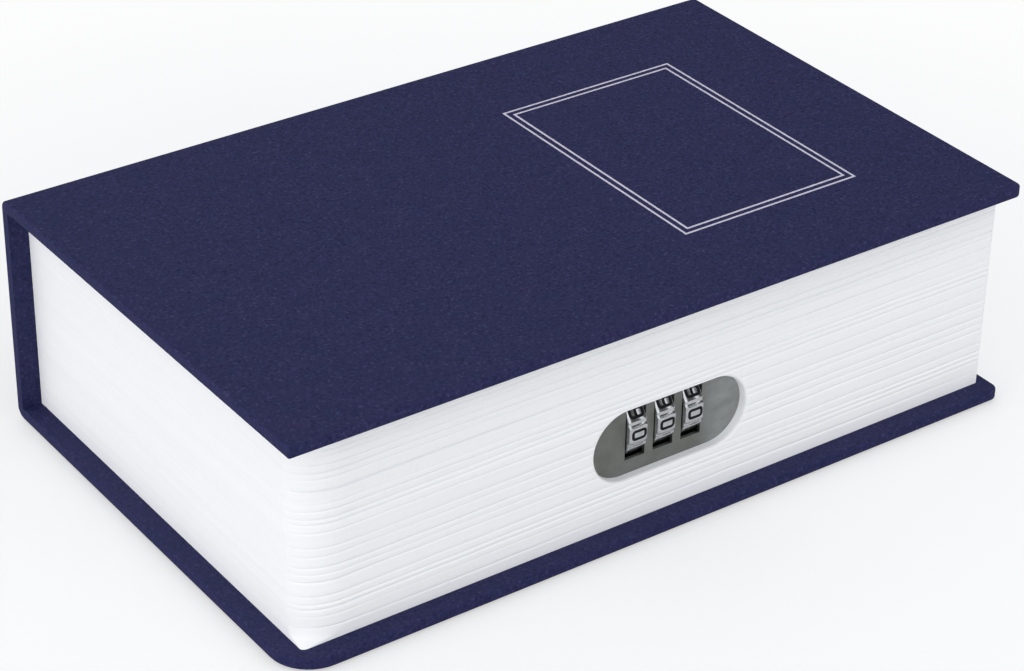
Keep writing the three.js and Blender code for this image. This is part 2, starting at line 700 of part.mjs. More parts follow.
function buildPlate(group) {
  const half = [OPENING_LENGTH / 2 + PLATE_RIM, OPENING_HEIGHT / 2 + PLATE_RIM];
  const middle = [lockX + OPENING_SHIFT, wheelZ - OPENING_DROP];
  const shape = roundedRectangle(
    middle[0] - half[0], middle[0] + half[0], middle[1] - half[1], middle[1] + half[1],
    [half[1], half[1], half[1], half[1]],
  );
  const through = [plateFront - FIT, plateBack + FIT];
  const windowReach = Math.sqrt(WHEEL_RADIUS ** 2 - (wheelY - plateBack) ** 2) + FIT;
  const windowHalf = WHEEL_WIDTH / 2 + WINDOW_SIDE_GAP;
  let plate = prismY(shape, plateFront, plateBack);
  for (const x of wheelX) {
    const span = [x - windowHalf, x + windowHalf];
    plate = plate.subtract(block(...span, ...through, wheelZ - windowReach, wheelZ + windowReach));
  }
  for (const x of [lockX - postX, lockX + postX]) {
    plate = plate.add(rodY(POST_RADIUS, plateFront + FIT, postEnd, x, postZ));
    plate = plate.subtract(rodY(SCREW_RADIUS + FIT, plateBack + FIT, postEnd + FIT, x, postZ));
  }
  addMesh(group, 'lock_plate', plate, plateMetal);
}

// Section of a number wheel: flat sides with a groove between each two, shrunk by inset
function wheelLoop(x, inset) {
  const step = (2 * Math.PI) / WHEEL_FACETS;
  const flatRadius = WHEEL_RADIUS * Math.cos(step / 2) - inset;
  const flatHalf = WHEEL_RADIUS * Math.sin(step / 2) - GROOVE_WIDTH / 2;
  const grooveRadius = WHEEL_RADIUS - GROOVE_DEPTH - inset;
  const points = [];
  for (let side = 0; side < WHEEL_FACETS; side += 1) {
    const angle = Math.PI + side * step;
    const out = new THREE.Vector3(0, Math.cos(angle), Math.sin(angle));
    const round = new THREE.Vector3(0, -Math.sin(angle), Math.cos(angle));
    for (const shift of [-flatHalf, flatHalf]) {
      points.push(new THREE.Vector3(x, 0, 0).addScaledVector(out, flatRadius).addScaledVector(round, shift));
    }
    const grooveAngle = angle + step / 2;
    points.push(new THREE.Vector3(
      x, Math.cos(grooveAngle) * grooveRadius, Math.sin(grooveAngle) * grooveRadius,
    ));
  }
  return points;
}

function numberWheel() {
  const half = WHEEL_WIDTH / 2;
  const ring = loftedSolid([
    wheelLoop(-half, WHEEL_BEVEL),
    wheelLoop(-half + WHEEL_BEVEL, 0),
    wheelLoop(half - WHEEL_BEVEL, 0),
    wheelLoop(half, WHEEL_BEVEL),
  ]);
  const splineEnd = -half + SPLINE_THICKNESS;
  const splineBore = SLEEVE_RADIUS + RUNNING_FIT;
  let wheel = cut(
    ring,
    rodX(WHEEL_BORE, splineEnd, half + FIT, 0, 0, FINE_SIDES),
    rodX(splineBore, -half - FIT, half, 0, 0, FINE_SIDES),
  );
  for (let i = 0; i < WHEEL_FACETS / 2; i += 1) {
    const reach = splineBore + SPLINE_DEPTH;
    const geometry = new THREE.BoxGeometry(SPLINE_THICKNESS + FIT, 2 * reach, SPLINE_WIDTH);
    geometry.rotateX((i * 2 * Math.PI) / WHEEL_FACETS);
    geometry.translate(splineEnd - (SPLINE_THICKNESS + FIT) / 2, 0, 0);
    wheel = wheel.subtract(solid(geometry));
  }
  return wheel;
}

function clutchSleeve() {
  const camStart = sleeveEnd - camThickness;
  const keyStart = -WHEEL_WIDTH / 2 + KEY_INSET;
  const keyEnd = keyStart + SPLINE_THICKNESS - 2 * KEY_INSET;
  const keyHalf = SPLINE_WIDTH / 2 - FIT;
  const notchBase = CAM_RADIUS - CAM_NOTCH_DEPTH;
  const notchHalf = CAM_NOTCH_WIDTH / 2;
  return cut(
    join(
      rodX(SLEEVE_RADIUS, sleeveStart, sleeveEnd, 0, 0, FINE_SIDES),
      rodX(CAM_RADIUS, camStart, sleeveEnd, 0, 0, FINE_SIDES),
      block(keyStart, keyEnd, -SLEEVE_RADIUS - KEY_HEIGHT, 0, -keyHalf, keyHalf),
    ),
    rodX(SPINDLE_RADIUS + RUNNING_FIT, sleeveStart - FIT, sleeveEnd + FIT, 0, 0, FINE_SIDES),
    block(camStart - FIT, sleeveEnd + FIT, notchBase, CAM_RADIUS + FIT, -notchHalf, notchHalf),
  );
}

function buildSpindle(group) {
  const neck = [leverTail - FIT, leverHead + FIT];
  const spindle = join(
    rodX(SPINDLE_RADIUS, spindleTail, neck[0], wheelY, wheelZ),
    rodX(NECK_RADIUS, neck[0] - FIT, neck[1] + FIT, wheelY, wheelZ),
    rodX(SPINDLE_RADIUS, neck[1], spindleHead, wheelY, wheelZ),
    rodX(COLLAR_RADIUS, collarTail, collarHead, wheelY, wheelZ),
  );
  addMesh(group, 'spindle', spindle, plainSteel);
  const clip = rodX(COLLAR_RADIUS, clipTail, clipHead, wheelY, wheelZ)
    .subtract(rodX(SPINDLE_RADIUS + RUNNING_FIT, clipTail - FIT, clipHead + FIT, wheelY, wheelZ));
  addMesh(group, 'spindle_clip', clip, plainSteel);
}

function buildLever(group) {
  const low = wheelZ - LEVER_HEIGHT / 2;
  const high = wheelZ + LEVER_HEIGHT / 2;
  const front = wheelY - SPINDLE_RADIUS;
  const back = backCoverOuter + LEVER_REACH;
  const middle = (leverTail + leverHead) / 2;
  const pad = [middle - LEVER_PAD_WIDTH / 2, middle + LEVER_PAD_WIDTH / 2];
  const slot = NECK_RADIUS + FIT;
  const lever = cut(
    join(
      block(leverTail, leverHead, front, back, low, high),
      block(...pad, back - LEVER_THICKNESS, back, low, high),
    ),
    rodX(slot, leverTail - FIT, leverHead + FIT, wheelY, wheelZ),
    block(leverTail - FIT, leverHead + FIT, front - FIT, wheelY, wheelZ - slot, wheelZ + slot),
  );
  addMesh(group, 'reset_lever', lever, plainSteel);
}

function buildLatch(group) {
  const half = postX - BOSS_RADIUS - FIT;
  const earHalf = cavityHalf - FIT;
  const toothTip = wheelY + CAM_RADIUS + FIT + LATCH_TRAVEL;
  const noseHalf = NOSE_WIDTH / 2;
  let latch = join(
    block(lockX - half, lockX + half, latchFront, latchBack, wheelZ - LATCH_SKIRT, noseTop),
    block(
      lockX - earHalf, lockX + earHalf, latchFront, latchBack, earZ - EAR_HEIGHT / 2, earZ + EAR_HEIGHT / 2,
    ),
    block(lockX - noseHalf, lockX + noseHalf, latchFront, noseTip, noseBottom, noseTop),
  );
  for (const x of wheelX) {
    const middle = x + WHEEL_PITCH / 2;
    const span = [middle - TOOTH_THICKNESS / 2, middle + TOOTH_THICKNESS / 2];
    const height = [wheelZ - TOOTH_HEIGHT / 2, wheelZ + TOOTH_HEIGHT / 2];
    latch = latch.add(block(...span, toothTip, latchBack, ...height));
  }
  addMesh(group, 'latch_plate', latch, plainSteel);
}

function buildLockBody(group) {
  const inner = [lockX - cavityHalf, lockX + cavityHalf];
  const wallBack = bodyFront + BODY_WALL;
  const wheelsReach = Math.sqrt(WHEEL_RADIUS ** 2 - (wheelY - wallBack) ** 2) + FIT;
  const through = [bodyFront - FIT, wallBack + FIT];
  let body = cut(
    block(lockX - bodyHalf, lockX + bodyHalf, bodyFront, bodyBack, bodyBottom, bodyTop),
    block(...inner, wallBack, bodyBack + FIT, cavityBottom, cavityTop),
    rodX(SPINDLE_COIL_RADIUS + SPINDLE_WIRE / 2 + RUNNING_FIT, ...inner, wheelY, wheelZ),
    block(...sweptSpan, ...through, wheelZ - wheelsReach, wheelZ + wheelsReach),
  );
  const bracketReach = [wheelZ - BRACKET_HEIGHT / 2, wheelZ + BRACKET_HEIGHT / 2];
  body = body.add(block(bracketTail, bracketHead, bodyFront, wallBack + BRACKET_DEPTH, ...bracketReach));
  const shaftFit = SPINDLE_RADIUS + RUNNING_FIT;
  body = body.subtract(rodX(shaftFit, bracketTail - FIT, bracketHead + FIT, wheelY, wheelZ));
  body = body.subtract(rodX(shaftFit, inner[1] - FIT, lockX + bodyHalf + FIT, wheelY, wheelZ));
  for (const side of [-1, 1]) {
    const post = [lockX + side * postX, postZ];
    const spring = [lockX + side * springX, earZ];
    body = body.add(rodY(BOSS_RADIUS, bodyFront, bodyBack, ...post));
    body = body.subtract(rodY(POST_RADIUS + FIT, bodyFront - FIT, postEnd + FIT, ...post));
    body = body.subtract(rodY(SCREW_RADIUS + FIT, bodyFront, bodyBack + FIT, ...post));
    body = body.add(rodY(LATCH_COIL_RADIUS + LATCH_WIRE / 2, bodyFront, springSeat, ...spring));
    body = body.add(rodY(SEAT_PIN_RADIUS, bodyFront, latchFront - LATCH_TRAVEL - FIT, ...spring));
  }
  addMesh(group, 'lock_body', body, blackPlastic);
}

function buildBackCover(group) {
  const noseHalf = NOSE_WIDTH / 2 + FIT;
  const through = [bodyBack - FIT, backCoverOuter + FIT];
  const leverSpan = [leverTail - FIT, leverHead + RESET_TRAVEL + FIT];
  const leverReach = [wheelZ - LEVER_HEIGHT / 2 - FIT, wheelZ + LEVER_HEIGHT / 2 + FIT];
  const cover = cut(
    block(lockX - bodyHalf, lockX + bodyHalf, bodyBack, backCoverOuter, bodyBottom, bodyTop),
    block(lockX - noseHalf, lockX + noseHalf, ...through, noseBottom - FIT, noseTop + FIT),
    block(...leverSpan, ...through, ...leverReach),
    rodY(SCREW_RADIUS + FIT, ...through, lockX - postX, postZ),
    rodY(SCREW_RADIUS + FIT, ...through, lockX + postX, postZ),
  );
  addMesh(group, 'lock_back_cover', cover, blackPlastic);
}

function buildLockScrews(group) {
  const slotHalf = SCREW_SLOT / 2;
  const headTop = backCoverOuter + SCREW_HEAD_HEIGHT;
  const screw = cut(
    join(
      rodY(SCREW_RADIUS, plateBack + 2 * FIT, backCoverOuter + FIT, 0, 0),
      rodY(SCREW_HEAD_RADIUS, backCoverOuter, headTop, 0, 0),
    ),
    block(-SCREW_HEAD_RADIUS, SCREW_HEAD_RADIUS, headTop - SCREW_SLOT, headTop + FIT, -slotHalf, slotHalf),
  );
  addMesh(group, 'lock_screw_tail', screw, plainSteel, [lockX - postX, 0, postZ]);
  addMesh(group, 'lock_screw_head', screw, plainSteel, [lockX + postX, 0, postZ]);
}

function buildClickSpring(group) {
  const bend = wheelY + FIT;
  const baseFront = bend + CLICK_REACH;
  const tipTop = wheelZ - WHEEL_RADIUS - FIT;
  const tipDrop = CLICK_THICKNESS;
  const finger = outline([
    [baseFront, cavityBottom],
    [bend, tipTop - CLICK_THICKNESS],
    [bend - CLICK_TIP, tipTop - CLICK_THICKNESS - tipDrop],
    [bend - CLICK_TIP, tipTop - tipDrop],
    [bend, tipTop],
    [baseFront, cavityBottom + CLICK_THICKNESS],
  ]);
  const baseHalf = WHEEL_PITCH + CLICK_FINGER_WIDTH / 2;
  const base = [baseFront - FIT, baseFront + CLICK_BASE];
  let spring = block(
    lockX - baseHalf, lockX + baseHalf, ...base, cavityBottom, cavityBottom + CLICK_THICKNESS,
  );
  for (const x of wheelX) {
    spring = spring.add(prismX(finger, x - CLICK_FINGER_WIDTH / 2, x + CLICK_FINGER_WIDTH / 2));
  }
  addMesh(group, 'click_spring', spring, brassMetal);
}

function buildCoils(group) {
  const latchCoil = coil(LATCH_COIL_LENGTH - 2 * RUNNING_FIT, LATCH_COIL_RADIUS, LATCH_WIRE, LATCH_TURNS)
    .rotate([0, 0, 90]);
  ['tail', 'head'].forEach((end, i) => {
    const x = lockX + (2 * i - 1) * springX;
    addMesh(group, `latch_spring_${end}`, latchCoil, plainSteel, [x, springSeat + RUNNING_FIT, earZ]);
  });
  const space = lockX + cavityHalf - clipHead - 2 * RUNNING_FIT;
  const spindleCoil = coil(space, SPINDLE_COIL_RADIUS, SPINDLE_WIRE, SPINDLE_TURNS);
  addMesh(group, 'spindle_spring', spindleCoil, plainSteel, [clipHead + RUNNING_FIT, wheelY, wheelZ]);
}

function buildWheels(group) {
  const wheel = numberWheel();
  const sleeve = clutchSleeve();
  ['tail', 'middle', 'head'].forEach((place, i) => {
    addMesh(group, `number_wheel_${place}`, wheel, chrome, [wheelX[i], wheelY, wheelZ]);
    addMesh(group, `sleeve_${place}`, sleeve, brassMetal, [wheelX[i], wheelY, wheelZ]);
  });
}

const bookSafe = new THREE.Group();
const box = new THREE.Group();
const lid = new THREE.Group();
const lock = new THREE.Group();
bookSafe.add(box, lid, lock);

const backNames = { skin: 'back_cover_skin', board: 'back_cover_board', adhesive: 'floor_adhesive' };
buildCover(box, backNames, 0, 1, spineInner, BACK_TAIL_CORNER, BACK_HEAD_CORNER, COVER_THICKNESS);
buildSpine(box);
buildHingeCloth(box);
buildPageBlock(box);
buildBox(box);

const frontNames = { skin: 'front_cover_skin', board: 'front_cover_board', adhesive: 'lid_adhesive' };
const lidGap = COVER_THICKNESS + FIT;
buildCover(lid, frontNames, BOOK_HEIGHT, -1, coverEnd, FRONT_TAIL_CORNER, FRONT_HEAD_CORNER, lidGap);
buildLid(lid);
buildStriker(lid);

buildPlate(lock);
buildLockBody(lock);
buildBackCover(lock);
buildLockScrews(lock);
buildWheels(lock);
buildSpindle(lock);
buildLever(lock);
buildLatch(lock);
buildClickSpring(lock);
buildCoils(lock);

export default bookSafe;
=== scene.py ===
import json
import math

import bpy
import numpy as np
from mathutils import Matrix, Vector, noise


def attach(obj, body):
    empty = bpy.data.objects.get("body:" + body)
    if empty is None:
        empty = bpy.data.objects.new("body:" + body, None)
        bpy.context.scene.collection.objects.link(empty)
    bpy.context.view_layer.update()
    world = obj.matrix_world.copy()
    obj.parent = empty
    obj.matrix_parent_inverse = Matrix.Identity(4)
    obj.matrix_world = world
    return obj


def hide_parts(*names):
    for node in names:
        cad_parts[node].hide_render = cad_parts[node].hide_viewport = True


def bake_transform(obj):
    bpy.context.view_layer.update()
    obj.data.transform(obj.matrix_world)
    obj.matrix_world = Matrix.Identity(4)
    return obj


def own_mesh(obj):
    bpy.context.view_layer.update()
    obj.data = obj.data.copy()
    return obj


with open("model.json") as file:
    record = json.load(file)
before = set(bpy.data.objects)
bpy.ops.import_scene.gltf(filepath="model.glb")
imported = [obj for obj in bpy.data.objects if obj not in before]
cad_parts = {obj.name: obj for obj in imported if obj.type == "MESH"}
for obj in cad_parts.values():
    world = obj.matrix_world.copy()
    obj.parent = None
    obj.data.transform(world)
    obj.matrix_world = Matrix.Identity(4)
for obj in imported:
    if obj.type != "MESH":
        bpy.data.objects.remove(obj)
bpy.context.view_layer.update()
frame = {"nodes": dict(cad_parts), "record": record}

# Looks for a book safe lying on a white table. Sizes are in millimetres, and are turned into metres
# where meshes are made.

MM = 0.001

# Sizes of the book, as in the CAD source
BOOK_LENGTH, BOOK_WIDTH, BOOK_HEIGHT = 180.0, 112.5, 52.5
COVER = 2.5
SKIN = 0.3
TURN_IN = 15.0
TAIL, HEAD = -BOOK_LENGTH / 2, BOOK_LENGTH / 2
FORE, SPINE = -BOOK_WIDTH / 2, BOOK_WIDTH / 2
SPINE_INNER = SPINE - COVER
COVER_END = 51.75
SPINE_TOP = 46.825
CLOTH = 0.5
SPINE_CORNER = 3.2
BLOCK_TAIL, BLOCK_HEAD = TAIL + 4.5, HEAD - 2.5
BLOCK_FORE = FORE + 4.5
BLOCK_TOP = 49.7
BLOCK_WALL = 2.0
# The pages' tail corner is a quarter of an ellipse, this long on the fore-edge and on the tail edge,
# and it is almost square at its foot
CORNER_ALONG, CORNER_ACROSS = 10.0, 6.0
BASE_SHARE, BASE_RISE = 0.15, 3.0
HEAD_CORNER, INNER_CORNER = 0.8, 2.5
# Hinge pin and the knuckles rolled round it
PIN_Y, PIN_Z = 52.05, 48.0
KNUCKLE_RADIUS = 1.7
WHEEL_X = (-5.6, 1.5, 8.6)
WHEEL_Y, WHEEL_Z = -43.55, 22.3
WHEEL_RADIUS = 8.0
WHEEL_WIDTH = 4.6
FACETS = 10
# The lock's opening in the fore-edge: its middle in X and Z, its length and its height
OPENING = (2.0, 21.0, 38.4, 16.3)

# Photograph's camera, found from the corners and edges of the book
CAMERA_PLACE = (-320.6, -444.65, 348.8)
CAMERA_AZIMUTH, CAMERA_ELEVATION, CAMERA_ROLL = -35.74, 31.13, 1.05
FOCAL_PIXELS, IMAGE_WIDTH, SENSOR = 3004.9, 1024, 36.0


def make_camera():
    """The photograph's camera, turned about its own axis by the roll."""
    data = bpy.data.cameras.new("camera")
    data.sensor_width = SENSOR
    data.lens = FOCAL_PIXELS / IMAGE_WIDTH * SENSOR
    data.clip_start, data.clip_end = 0.05, 20
    camera = bpy.data.objects.new("camera", data)
    bpy.context.collection.objects.link(camera)
    a, e = math.radians(CAMERA_AZIMUTH), math.radians(CAMERA_ELEVATION)
    back = Vector((math.sin(a) * math.cos(e), -math.cos(a) * math.cos(e), math.sin(e)))
    turn = (-back).to_track_quat("-Z", "Y").to_matrix() @ Matrix.Rotation(math.radians(CAMERA_ROLL), 3, "Z")
    camera.matrix_world = Matrix.Translation(Vector(CAMERA_PLACE) * MM) @ turn.to_4x4()
    bpy.context.scene.camera = camera


make_camera()


# Materials

def new_material(name, **sockets):
    """A material with one Principled shader, and that shader's node tree for more."""
    material = bpy.data.materials.new(name)
    material.use_nodes = True
    tree = material.node_tree
    shader = tree.nodes["Principled BSDF"]
    for socket, value in sockets.items():
        shader.inputs[socket.replace("_", " ")].default_value = value
    return material, tree, shader


def noise_node(tree, scale, detail=2.0, roughness=0.5, stretch=(1, 1, 1)):
    """Noise over the piece's own place, in features per metre."""
    place = tree.nodes.new("ShaderNodeTexCoord")
    mapping = tree.nodes.new("ShaderNodeMapping")
    mapping.inputs["Scale"].default_value = stretch
    texture = tree.nodes.new("ShaderNodeTexNoise")
    texture.inputs["Scale"].default_value = scale
    texture.inputs["Detail"].default_value = detail
    texture.inputs["Roughness"].default_value = roughness
    tree.links.new(place.outputs["Object"], mapping.inputs["Vector"])
    tree.links.new(mapping.outputs["Vector"], texture.inputs["Vector"])
    return texture


def ramp(tree, source, stops):
    """Colours along a 0 to 1 value."""
    node = tree.nodes.new("ShaderNodeValToRGB")
    elements = node.color_ramp.elements
    while len(elements) < len(stops):
        elements.new(0.5)
    for element, (position, colour) in zip(elements, stops):
        element.position = position
        element.color = (*colour, 1)
    tree.links.new(source, node.inputs["Fac"])
    return node.outputs["Color"]


def coordinates(tree, output="Object"):
    """X, Y and Z of the place that is shaded, or of the direction that is seen."""
    place = tree.nodes.new("ShaderNodeTexCoord")
    split = tree.nodes.new("ShaderNodeSeparateXYZ")
    tree.links.new(place.outputs[output], split.inputs[0])
    return split.outputs


def bump(tree, shader, source, strength, distance):
    """Fine relief, with its depth in metres."""
    node = tree.nodes.new("ShaderNodeBump")
    node.inputs["Strength"].default_value = strength
    node.inputs["Distance"].default_value = distance
    tree.links.new(source, node.inputs["Height"])
    tree.links.new(node.outputs["Normal"], shader.inputs["Normal"])


def vary_roughness(tree, shader, source, low, high):
    """Roughness that follows a 0 to 1 value."""
    node = tree.nodes.new("ShaderNodeMapRange")
    node.inputs["To Min"].default_value = low
    node.inputs["To Max"].default_value = high
    tree.links.new(source, node.inputs["Value"])
    tree.links.new(node.outputs["Result"], shader.inputs["Roughness"])


def mix_colours(tree, factor, first, second):
    """The first colour where the factor is 0 and the second where it is 1. Each may be a socket."""
    node = tree.nodes.new("ShaderNodeMix")
    node.data_type = "RGBA"
    for socket, value in ((node.inputs[0], factor), (node.inputs[6], first), (node.inputs[7], second)):
        if isinstance(value, bpy.types.NodeSocket):
            tree.links.new(value, socket)
        elif isinstance(value, tuple):
            socket.default_value = (*value, 1)
        else:
            socket.default_value = value
    return node.outputs[2]


def math_node(tree, operation, *values):
    """A sum of sockets and plain numbers."""
    node = tree.nodes.new("ShaderNodeMath")
    node.operation = operation
    for socket, value in zip(node.inputs, values):
        if isinstance(value, bpy.types.NodeSocket):
            tree.links.new(value, socket)
        else:
            socket.default_value = value
    return node.outputs[0]


def length_node(tree, vector):
    """Length of a vector."""
    node = tree.nodes.new("ShaderNodeVectorMath")
    node.operation = "LENGTH"
    tree.links.new(vector, node.inputs[0])
    return node.outputs["Value"]


def step_node(tree, value, start, end):
    """0 before the start and 1 after the end, smooth between."""
    node = tree.nodes.new("ShaderNodeMapRange")
    node.interpolation_type = "SMOOTHSTEP"
    node.inputs["From Min"].default_value = start
    node.inputs["From Max"].default_value = end
    tree.links.new(value, node.inputs["Value"])
    return node.outputs["Result"]


def navy_material(name):
    """Fine dark weave with lighter specks and a faint cloud of tint."""
    material, tree, shader = new_material(name, Specular_IOR_Level=0.16)
    grain = noise_node(tree, 1900, 3.0, 0.6)
    speck = noise_node(tree, 1500, 2.0, 0.6)
    cloud = noise_node(tree, 170, 4.0, 0.7)
    fine = ramp(tree, speck.outputs["Fac"], [
        (0.33, (0.0060, 0.0060, 0.034)), (0.42, (0.0175, 0.0180, 0.0700)),
        (0.60, (0.0235, 0.0245, 0.0835)), (0.70, (0.0520, 0.0560, 0.145)),
    ])
    tint = ramp(tree, cloud.outputs["Fac"], [
        (0.35, (0.0150, 0.0205, 0.0700)), (0.65, (0.0270, 0.0220, 0.0810)),
    ])
    tree.links.new(mix_colours(tree, 0.35, fine, tint), shader.inputs["Base Color"])
    vary_roughness(tree, shader, speck.outputs["Fac"], 0.62, 0.82)
    bump(tree, shader, grain.outputs["Fac"], 0.35, 0.0001)
    return material


# Painted shade: grey is painted into the grooves between the pages, where shade falls. It is told by how
# far a point lies behind the block's faces: none at the face, all of it in a groove, and none further in.
GROOVE_SHADE = 0.15
GROOVE_SHADE_COLOUR = (0.30, 0.31, 0.34)
SHADE_START, SHADE_FULL = 0.02, 0.25
SHADE_WANE, SHADE_END = 0.35, 0.5


def depth_behind_faces(tree):
    """How far a point lies behind the three outer faces of the page block."""
    x, y, _ = coordinates(tree)
    from_head = math_node(tree, "SUBTRACT", BLOCK_HEAD * MM, x)
    to_reach = math_node(tree, "SUBTRACT", (BLOCK_TAIL + CORNER_ALONG) * MM, x)
    to_corner = math_node(tree, "SUBTRACT", (BLOCK_FORE + CORNER_ACROSS) * MM, y)
    within = math_node(tree, "MAXIMUM", to_reach, 0.0)
    away = tree.nodes.new("ShaderNodeCombineXYZ")
    tree.links.new(math_node(tree, "MULTIPLY", within, CORNER_ACROSS / CORNER_ALONG), away.inputs["X"])
    tree.links.new(math_node(tree, "MAXIMUM", to_corner, 0.0), away.inputs["Y"])
    from_others = math_node(tree, "SUBTRACT", CORNER_ACROSS * MM, length_node(tree, away.outputs[0]))
    return math_node(tree, "MINIMUM", from_others, from_head)


def page_material():
    """White plastic in faint bands, with painted shade in the grooves."""
    material, tree, shader = new_material("white_pages", Specular_IOR_Level=0.3)
    layers = noise_node(tree, 9, 3.0, 0.6, (1, 1, 60))
    speck = noise_node(tree, 700, 2.0, 0.5)
    bands = ramp(tree, layers.outputs["Fac"], [(0.3, (0.845, 0.85, 0.865)), (0.7, (0.895, 0.90, 0.915))])
    specks = ramp(tree, speck.outputs["Fac"], [(0.2, (0.83, 0.835, 0.85)), (0.45, (0.885, 0.89, 0.905))])
    paper = mix_colours(tree, 0.35, bands, specks)
    # Painted shade: the paper is darkened towards grey in the grooves, where shade falls
    depth = depth_behind_faces(tree)
    groove = step_node(tree, depth, SHADE_START * MM, SHADE_FULL * MM)
    shallow = math_node(tree, "SUBTRACT", 1.0, step_node(tree, depth, SHADE_WANE * MM, SHADE_END * MM))
    painted_shade = math_node(tree, "MULTIPLY", math_node(tree, "MULTIPLY", groove, shallow), GROOVE_SHADE)
    tree.links.new(mix_colours(tree, painted_shade, paper, GROOVE_SHADE_COLOUR), shader.inputs["Base Color"])
    vary_roughness(tree, shader, speck.outputs["Fac"], 0.5, 0.65)
    bump(tree, shader, speck.outputs["Fac"], 0.10, 0.0001)
    return material


# Painted reflection: the plate is painted lighter from here on, along X
REFLECTION_START, REFLECTION_END = 9.0, 17.0


def plate_material():
    """Dull grey plate, with a painted reflection that makes it lighter in streaks towards the head."""
    material, tree, shader = new_material("lock_plate_look", Metallic=1.0)
    blotch = noise_node(tree, 180, 4.0, 0.65)
    reflection_noise = noise_node(tree, 60, 3.0, 0.6, (1, 1, 2.5))
    # Painted reflection: towards the head the plate's colour is painted lighter, in streaks
    along = step_node(tree, coordinates(tree)["X"], REFLECTION_START * MM, REFLECTION_END * MM)
    streaks = ramp(tree, reflection_noise.outputs["Fac"], [(0.30, (0.25, 0.25, 0.25)), (0.60, (1, 1, 1))])
    share = math_node(tree, "MULTIPLY", along, streaks)
    dull = ramp(tree, blotch.outputs["Fac"], [(0.3, (0.225, 0.231, 0.215)), (0.7, (0.305, 0.312, 0.294))])
    painted_reflection = ramp(tree, blotch.outputs["Fac"], [(0.3, (0.385, 0.402, 0.395)), (0.7, (0.485, 0.508, 0.503))])
    tree.links.new(mix_colours(tree, share, dull, painted_reflection), shader.inputs["Base Color"])
    vary_roughness(tree, shader, blotch.outputs["Fac"], 0.36, 0.52)
    bump(tree, shader, blotch.outputs["Fac"], 0.12, 0.00004)
    return material


def rule_material():
    """Silver-grey print."""
    material, tree, shader = new_material("silver_rule", Metallic=0.25)
    grain = noise_node(tree, 1500, 3.0, 0.6)
    colour = ramp(tree, grain.outputs["Fac"], [(0.3, (0.62, 0.60, 0.72)), (0.7, (0.80, 0.78, 0.90))])
    tree.links.new(colour, shader.inputs["Base Color"])
    vary_roughness(tree, shader, grain.outputs["Fac"], 0.4, 0.55)
    return material


def metal_material(name, dark, light, rough, scale=350, stretch=(1, 1, 1), bump_strength=0.1):
    """Metal in blotches between two shades."""
    material, tree, shader = new_material(name, Metallic=1.0)
    blotch = noise_node(tree, scale, 4.0, 0.6, stretch)
    colour = ramp(tree, blotch.outputs["Fac"], [(0.3, dark), (0.7, light)])
    tree.links.new(colour, shader.inputs["Base Color"])
    vary_roughness(tree, shader, blotch.outputs["Fac"], *rough)
    bump(tree, shader, blotch.outputs["Fac"], bump_strength, 0.00004)
    return material


def plain_material(name, dark, light, rough, scale=900, bump_strength=0.25, specular=0.5):
    """Paint, plastic, board or glue in a fine grain between two shades."""
    material, tree, shader = new_material(name, Specular_IOR_Level=specular)
    grain = noise_node(tree, scale, 3.0, 0.6)
    colour = ramp(tree, grain.outputs["Fac"], [(0.3, dark), (0.7, light)])
    tree.links.new(colour, shader.inputs["Base Color"])
    vary_roughness(tree, shader, grain.outputs["Fac"], *rough)
    bump(tree, shader, grain.outputs["Fac"], bump_strength, 0.00008)
    return material


navy_skin = navy_material("navy_skin_look")
navy_cloth = navy_material("navy_cloth_look")
white_pages = page_material()
foil = rule_material()
chrome = metal_material(
    "chrome_look", (0.64, 0.65, 0.66), (0.80, 0.81, 0.81), (0.07, 0.16), 900, bump_strength=0.06,
)
plate_metal = plate_material()
steel = metal_material("steel_look", (0.42, 0.43, 0.44), (0.58, 0.59, 0.60), (0.25, 0.4), 400, (1, 1, 8))
brass = metal_material("brass_look", (0.50, 0.34, 0.12), (0.66, 0.47, 0.19), (0.25, 0.4), 500)
powder = plain_material("powder_coat", (0.012, 0.013, 0.016), (0.022, 0.023, 0.027), (0.45, 0.6), 2600, 0.5)
black_plastic = plain_material(
    "black_plastic_look", (0.005, 0.005, 0.006), (0.009, 0.009, 0.010), (0.5, 0.65), 1500, 0.15, 0.2,
)
greyboard = plain_material(
    "greyboard_look", (0.26, 0.23, 0.18), (0.38, 0.34, 0.27), (0.8, 0.95), 900, 0.5, 0.2,
)
glue = plain_material("adhesive_look", (0.62, 0.57, 0.42), (0.74, 0.69, 0.53), (0.4, 0.6), 500, 0.15)
ink = plain_material("black_ink", (0.004, 0.004, 0.005), (0.008, 0.008, 0.009), (0.5, 0.65), 1500, 0.05, 0.2)

LOOKS = {
    "navy_skin": navy_skin,
    "navy_cloth": navy_cloth,
    "greyboard": greyboard,
    "adhesive": glue,
    "white_plastic": white_pages,
    "black_steel": powder,
    "plate_metal": plate_metal,
    "chrome": chrome,
    "plain_steel": steel,
    "brass": brass,
    "black_plastic": black_plastic,
}

# CAD nodes that show as they are, in the material of their slot
slot_of = {part["node"]: part["material_slot"] for part in frame["record"]["subparts"]}
for name, node in frame["nodes"].items():
    node.data.materials.clear()
    node.data.materials.append(LOOKS[slot_of[name]])


# Mesh helpers

def mesh_object(name, vertices, faces):
    """An object in the scene, from vertices in millimetres."""
    mesh = bpy.data.meshes.new(name)
    mesh.from_pydata([tuple(c * MM for c in v) for v in vertices], [], faces)
    made = bpy.data.objects.new(name, mesh)
    bpy.context.collection.objects.link(made)
    return made


def add_piece(name, vertices, faces, look, body, smooth=35.0):
    """A piece that rides on a body. Edges that turn by more than the smooth angle are sharp."""
    piece = mesh_object(name, vertices, faces)
    mesh = piece.data
    mesh.validate()
    mesh.materials.append(look)
    mesh.polygons.foreach_set("use_smooth", [True] * len(mesh.polygons))
    mesh.set_sharp_from_angle(angle=math.radians(smooth))
    if body:
        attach(piece, body)
    return piece


